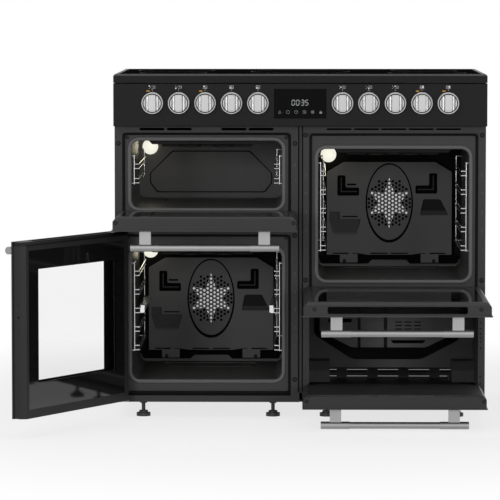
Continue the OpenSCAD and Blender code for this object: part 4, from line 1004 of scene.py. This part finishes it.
# %% Latch holes
LATCH_HOLES = ((314.5, 3.0), (346.0, 1.4), (282.5, 1.4))
LATCH_IN = 6 * MM
AT_THE_EDGE = 0.5 * MM
along = Vector((math.cos(SIDE_OPEN), -math.sin(SIDE_OPEN), 0))
inward = Vector((math.sin(SIDE_OPEN), math.cos(SIDE_OPEN), 0))
offsets = [Vector(v.co) - SIDE_PIN for v in frame["nodes"]["left_door_frame"].data.vertices]
free_u = max(offset.dot(along) for offset in offsets)
edge_v = max(offset.dot(inward) for offset in offsets if offset.dot(along) > free_u - AT_THE_EDGE)
spot = (SIDE_PIN + along * free_u + inward * (edge_v - LATCH_IN)) / MM
edge_turn = Matrix.Rotation(SIDE_OPEN - math.pi / 2, 3, "Z").inverted()
latch = Mesh()
for z, radius in LATCH_HOLES:
    disc = [(radius, 0.0, 0), (radius, -0.1, 0), (radius - 0.3, -0.15, 0)]
    latch.turned((spot.x, spot.y, z), disc, edge_turn)
# Each black disc is painted shade in a latch hole.
latch.hand_over("latch_holes", "left_oven_door", "seal_rubber", shade_black)
print("free edge at", round(free_u, 4), "m from the pin")


# %% [markdown]
# Signs, digits and level numbers are all flat figures that stand a hair proud of a panel. They could
# be a picture on the panel, but figures of real thickness stay sharp at any distance and need no
# unwrapping. Three shapes draw them all: dots, straight bars and hoops.

# %% Flat figures
class Relief(Mesh):
    """Flat figures on a panel; its plane and how proud they stand are in millimetres."""

    def __init__(self, plane, proud):
        super().__init__()
        self.front = plane - proud
        self.back = plane

    def shape(self, points):
        self.prism(points, self.front, self.back)

    def dot(self, x, z, radius, steps=12):
        angles = [2 * math.pi * i / steps for i in range(steps)]
        self.shape([(x + radius * math.cos(a), z + radius * math.sin(a)) for a in angles])

    def bar(self, a, b, width):
        """A straight stroke between two (x, z) points."""
        along = Vector(b) - Vector(a)
        side = Vector((-along.y, along.x)).normalized() * width / 2
        corners = [Vector(a) + side, Vector(b) + side, Vector(b) - side, Vector(a) - side]
        self.shape([tuple(c) for c in corners])

    def hoop(self, x, z, radius, width, end=360.0, steps=20):
        """A ring up to an angle in degrees, made of short segments."""
        angles = [math.radians(end * i / steps) for i in range(steps + 1)]
        outer = radius + width / 2
        inner = radius - width / 2
        for a, b in zip(angles, angles[1:]):
            corners = [(outer, a), (outer, b), (inner, b), (inner, a)]
            self.shape([(x + r * math.cos(t), z + r * math.sin(t)) for r, t in corners])


print("figures: dots, bars and hoops")


# %% [markdown]
# The signs over the knobs are printed in white. A pictogram of five dots says which heating zone a
# knob serves, beside the outline of a hob. A small drawing of the four chambers, with one of them
# filled, says which oven. Both are general signs, so two functions draw all ten.

# %% Signs over the knobs
PANEL_Y = -300.0
PRINT = 0.12
KNOB_XS = [joints[f"knob_{number}_turn"]["pos_m"][0] / MM for number in range(1, 11)]
SIGN_Z = 895.2
MARK_Z = 887.6
THIN = 0.5
ZONES_X = -4.2
ZONE_DOTS = ((-3.6, 3.0), (-3.6, -3.0), (0.0, 0.0), (3.6, -3.0), (3.6, 3.0))
SMALL_DOT = 0.75
LARGE_DOT = 1.9
# A box is its left, lower, right and upper edge, in millimetres from the middle of the sign.
HOB_BOX = (2.4, -3.4, 7.6, 3.4)
CHAMBERS = {"grill": (-5.2, 0.8, -0.6, 4.0), "left": (-5.2, -4.0, -0.6, -0.2),
            "right": (0.6, -1.4, 5.2, 4.0), "store": (0.6, -4.0, 5.2, -2.3)}
# Which zone or chamber the knobs serve, from left to right.
SERVES = [0, 1, "grill", "left", "left", 2, 3, 4, "right", "right"]


def corners_of(x, z, box):
    x0, z0, x1, z1 = box
    return [(x + x0, z + z0), (x + x1, z + z0), (x + x1, z + z1), (x + x0, z + z1)]


def outline(m, corners):
    """Four strokes round a box."""
    for a, b in zip(corners, corners[1:] + corners[:1]):
        m.bar(a, b, THIN)


def zone_sign(m, x, z, chosen):
    """Five dots in the order of the zones, the chosen one large, and the outline of a hob."""
    for number, (dx, dz) in enumerate(ZONE_DOTS):
        m.dot(x + ZONES_X + dx, z + dz, LARGE_DOT if number == chosen else SMALL_DOT)
    outline(m, corners_of(x, z, HOB_BOX))
    m.bar((x + 4.0, z), (x + 6.0, z), THIN)


def chamber_sign(m, x, z, chosen):
    """The chambers seen from the front, the chosen one filled."""
    for name, box in CHAMBERS.items():
        corners = corners_of(x, z, box)
        if name == chosen:
            m.shape(corners)
        else:
            outline(m, corners)


signs = Relief(PANEL_Y, PRINT)
for x, served in zip(KNOB_XS, SERVES):
    signs.dot(x, MARK_Z, 0.95)
    draw = chamber_sign if served in CHAMBERS else zone_sign
    draw(signs, x, SIGN_Z, served)
sign_white = moulded("sign_white", (0.62, 0.62, 0.60), 0.55, 700.0, 0.00001)
signs.hand_over("knob_signs", "cabinet", "panel_paint", sign_white)
print("signs over", len(KNOB_XS), "knobs")


# %% [markdown]
# The clock glows through its dark window. Each digit is made of seven bars, so a table of which bars
# are lit draws any figure. The same digits, in relief, will number the shelf levels.

# %% Clock digits
GLASS_Y = -300.2
CLOCK_Z = 854.0
LEAN = 0.08
COLON_X = -0.4
COLON_RISE = 3.0
# Width, height and stroke of a digit, in millimetres.
CLOCK_DIGIT = (7.4, 13.6, 1.7)
SEGMENTS = {"0": "abcdef", "1": "bc", "2": "abged", "3": "abgcd", "4": "fgbc", "5": "afgcd"}


def digit(m, figure, x, z, wide, tall, stroke, lean=0.0):
    """One figure of seven bars with its centre at x, z."""
    half = wide / 2
    mid = tall / 2
    gap = stroke * 0.55
    bars = {"a": ((-half + gap, mid), (half - gap, mid)),
            "b": ((half, mid - gap), (half, gap)),
            "c": ((half, -gap), (half, -mid + gap)),
            "d": ((-half + gap, -mid), (half - gap, -mid)),
            "e": ((-half, -gap), (-half, -mid + gap)),
            "f": ((-half, mid - gap), (-half, gap)),
            "g": ((-half + gap, 0), (half - gap, 0))}
    for letter in SEGMENTS[figure]:
        (x0, z0), (x1, z1) = bars[letter]
        m.bar((x + x0 + z0 * lean, z + z0), (x + x1 + z1 * lean, z + z1), stroke)


clock = Relief(GLASS_Y, PRINT)
for figure, dx in (("0", -18.4), ("0", -6.6), ("3", 6.2), ("5", 17.6)):
    digit(clock, figure, dx, CLOCK_Z, *CLOCK_DIGIT, LEAN)
for dz in (-COLON_RISE, COLON_RISE):
    clock.dot(COLON_X + dz * LEAN, CLOCK_Z + dz, 0.7, 10)
clock_light = glow("clock_light", (0.34, 0.36, 0.37), 0.12)
clock.hand_over("clock_digits", "cabinet", "display_glass", clock_light)
print("clock: four digits and a colon")


# %% [markdown]
# Under the time are six touch signs: a bell, a ring for less, a dial with a hand, a ring with a
# cross, a cog and a padlock. They are drawn with the same bars and hoops, each from its own middle.

# %% Touch signs
TOUCH_Z = 829.0
LINE = 0.7
touch = Relief(GLASS_Y, PRINT)


def stroke(x0, z0, x1, z1, width=LINE):
    touch.bar((x0, TOUCH_Z + z0), (x1, TOUCH_Z + z1), width)


def arc(x, z, radius, width=LINE, end=360.0, steps=20):
    touch.hoop(x, TOUCH_Z + z, radius, width, end, steps)


bell, less, dial, cross, cog, lock = -54.5, -32.6, -10.7, 11.5, 33.2, 55.0
arc(bell, 0.6, 2.6, LINE, 180, 12)
for side in (-1, 1):
    stroke(bell + side * 2.6, 0.6, bell + side * 3.6, -2.8)
stroke(bell - 4.0, -3.0, bell + 4.0, -3.0)
touch.dot(bell, TOUCH_Z - 4.2, 0.8, 10)
for x in (less, dial, cross):
    arc(x, 0, 4.4)
stroke(less - 5.4, 0, less - 3.4, 0)
stroke(dial, 0, dial, 2.6)
stroke(dial, 0, dial + 2.0, 0)
for rise in (-1.8, 1.8):
    stroke(cross - 1.8, rise, cross + 1.8, -rise)
arc(cog, 0, 2.6, 1.2)
for turn in range(8):
    a = math.radians(45 * turn)
    stroke(cog + 3.2 * math.cos(a), 3.2 * math.sin(a),
           cog + 4.6 * math.cos(a), 4.6 * math.sin(a), 1.1)
touch.shape(corners_of(lock, TOUCH_Z, (-3.2, -4.4, 3.2, 0.6)))
arc(lock, 0.6, 2.2, 0.8, 180, 12)
touch_grey = glow("touch_grey", (0.20, 0.21, 0.22), 0.08)
touch.hand_over("touch_signs", "cabinet", "display_glass", touch_grey)
print("six touch signs")


# %% [markdown]
# The shelf levels are numbered beside the racks with small figures pressed into the front frames.
# They are raised by two tenths of a millimetre and are hardly lighter than the sheet. They stand on
# the uprights of the frames, each beside a rail of the rack, counted from below.

# %% Level numbers
RAISED = 0.2
LEVEL_DIGIT = (4.6, 8.4, 0.9)
POST_X = -14.2
RIGHT_XS = (15.0, 489.0)
LEFT_LEVELS = (195, 244, 295, 343, 391)
GRILL_LEVELS = (644, 684)
RIGHT_LEVELS = (458, 509, 558, 609, 659)
columns = [(POST_X, LEFT_LEVELS), (POST_X, GRILL_LEVELS)] + [(x, RIGHT_LEVELS) for x in RIGHT_XS]
marks = Relief(FRAME_Y, RAISED)
for x, heights in columns:
    for number, z in enumerate(heights, 1):
        digit(marks, str(number), x, z, *LEVEL_DIGIT)
level_mark = moulded("level_mark", (0.050, 0.050, 0.050), 0.4, 700.0, 0.00001)
marks.hand_over("level_numbers", "cabinet", "frame_enamel", level_mark)
print("level numbers:", sum(len(heights) for x, heights in columns))


# %% [markdown]
# The studio is as plain as a catalogue page, white all round. A page that really lit the cooker so
# brightly would wash it out. So the world has two strengths, told apart by the kind of ray: the page
# itself is 1, which is white, for what the camera sees directly, in a mirror or through glass, and
# the light that falls on the cooker is weaker.

# %% World
SKY_LIGHT = 0.42


def page_rays(nodes):
    """1 for rays that show the page: from the camera, by a mirror or through glass."""
    camera_ray = nodes.add("ShaderNodeLightPath", {}, {}, "Is Camera Ray")
    outputs = camera_ray.socket.node.outputs
    glossy = Value(nodes, outputs["Is Glossy Ray"])
    through = Value(nodes, outputs["Is Transmission Ray"])
    return (camera_ray + glossy + through).clamp()


world = bpy.data.worlds.new("studio")
bpy.context.scene.world = world
world.use_nodes = True
sky = Nodes(world.node_tree, "ShaderNodeOutputWorld")
light = sky.add("ShaderNodeBackground", {}, {"Color": grey(1.0), "Strength": SKY_LIGHT})
page = sky.add("ShaderNodeBackground", {}, {"Color": grey(1.0), "Strength": 1.0})
sky.show(sky.add("ShaderNodeMixShader", {}, {0: page_rays(sky), 1: light, 2: page}))
print("world: page 1.0, light", SKY_LIGHT)


# %% [markdown]
# The floor is the same page, but it has to keep the cooker's shadow. It mixes a quarter of its own
# lit surface into the white near the cooker, and less of it further out, so the shadow stays
# faintly there and no edge of the floor shows.

# %% Floor
FLOOR_HALF = 15.0
SHADOW_SHARE = 0.25
SHADOW_ENDS = (0.9, 2.0)


def floor_paper():
    f = Finish("floor")
    paper = f.mix(f.noise(0.4), grey(0.86), grey(0.9))
    lit = f.add("ShaderNodeBsdfDiffuse", {}, {"Color": paper})
    white = f.add("ShaderNodeEmission", {}, {"Color": grey(1.0), "Strength": 1.0})
    x, y, z = f.axes()
    shadow = SHADOW_SHARE * (1 - distance(x, y).step(*SHADOW_ENDS))
    seen = page_rays(f) * (1 - shadow)
    f.show(f.add("ShaderNodeMixShader", {}, {0: seen, 1: lit, 2: white}))
    return f.material


mesh = bpy.data.meshes.new("floor")
corners = [(x * FLOOR_HALF, y * FLOOR_HALF, 0) for x, y in ((-1, -1), (1, -1), (1, 1), (-1, 1))]
mesh.from_pydata(corners, [], [(0, 1, 2, 3)])
mesh.materials.append(floor_paper())
floor = bpy.data.objects.new("floor", mesh)
bpy.context.scene.collection.objects.link(floor)
print("floor, m:", 2 * FLOOR_HALF)


# %% [markdown]
# Four softboxes light the front: two low ones far off, which reach into the open ovens, a key light
# above on the left, and a small one over the hob. Large and soft lamps give the broad highlights of
# satin paint without hard shadows.

# %% Softboxes
def softbox(name, place, target, size, power):
    """A rectangular lamp that looks at a target; places and size in metres, power in watts."""
    data = bpy.data.lights.new(name, "AREA")
    data.shape = "RECTANGLE"
    data.size, data.size_y = size
    data.energy = power
    lamp = bpy.data.objects.new(name, data)
    lamp.location = place
    lamp.rotation_euler = (Vector(target) - Vector(place)).to_track_quat("-Z", "Y").to_euler()
    bpy.context.scene.collection.objects.link(lamp)
    return lamp


softboxes = [
    softbox("front_left", (-3.6, -7.6, 1.5), (0, 0, 0.45), (2.0, 1.6), 150),
    softbox("front_right", (3.6, -7.6, 1.5), (0, 0, 0.45), (2.0, 1.6), 130),
    softbox("key", (-2.2, -3.2, 3.0), (0, 0, 0.4), (2.4, 1.6), 24),
    softbox("top", (0, -0.3, 3.4), (0, 0, 0.9), (2.6, 1.6), 18),
]
print("softboxes, W:", [round(lamp.data.energy) for lamp in softboxes])


# %% [markdown]
# The oven lamps are lit. Each lens glows by itself, and a small warm light in front of it gives the
# pool on the roof, the wall and the racks next to it.

# %% Oven lamps
LAMP_GLOW = (1.0, 0.90, 0.62)
LAMP_POWER = 0.035
LAMP_AHEAD = 45
LAMP_RADIUS = 0.018
LAMPS = {"grill_lamp": (-423.0, 713.1), "left_lamp": (-423.0, 420.5), "right_lamp": (80.0, 691.2)}

lens_y = front_y("oven_lamps")
for name, (x, z) in LAMPS.items():
    data = bpy.data.lights.new(name, "POINT")
    data.energy = LAMP_POWER
    data.color = LAMP_GLOW
    data.shadow_soft_size = LAMP_RADIUS
    lamp = bpy.data.objects.new(name, data)
    lamp.location = (x * MM, (lens_y - LAMP_AHEAD) * MM, z * MM)
    bpy.context.scene.collection.objects.link(lamp)
print("oven lamps:", len(LAMPS))


# %% [markdown]
# The camera stands nine metres off and looks slightly down through a long lens, so that the open
# doors show only a little of their inner faces, as they do in a catalogue picture.

# %% Camera
LENS = 242.35
SENSOR = 36.0
YAW = math.radians(0.854)
PITCH = math.radians(4.45)
STAND = (0, -9.3, 1.1594)
camera_data = bpy.data.cameras.new("camera")
camera_data.lens = LENS
camera_data.sensor_width = SENSOR
camera_data.clip_end = 100
camera = bpy.data.objects.new("camera", camera_data)
camera.location = STAND
camera.rotation_euler = (math.radians(90) - PITCH, 0, YAW)
bpy.context.scene.collection.objects.link(camera)
bpy.context.scene.camera = camera
bpy.context.scene.view_settings.view_transform = "Standard"
print("camera at", [round(c, 3) for c in camera.location])
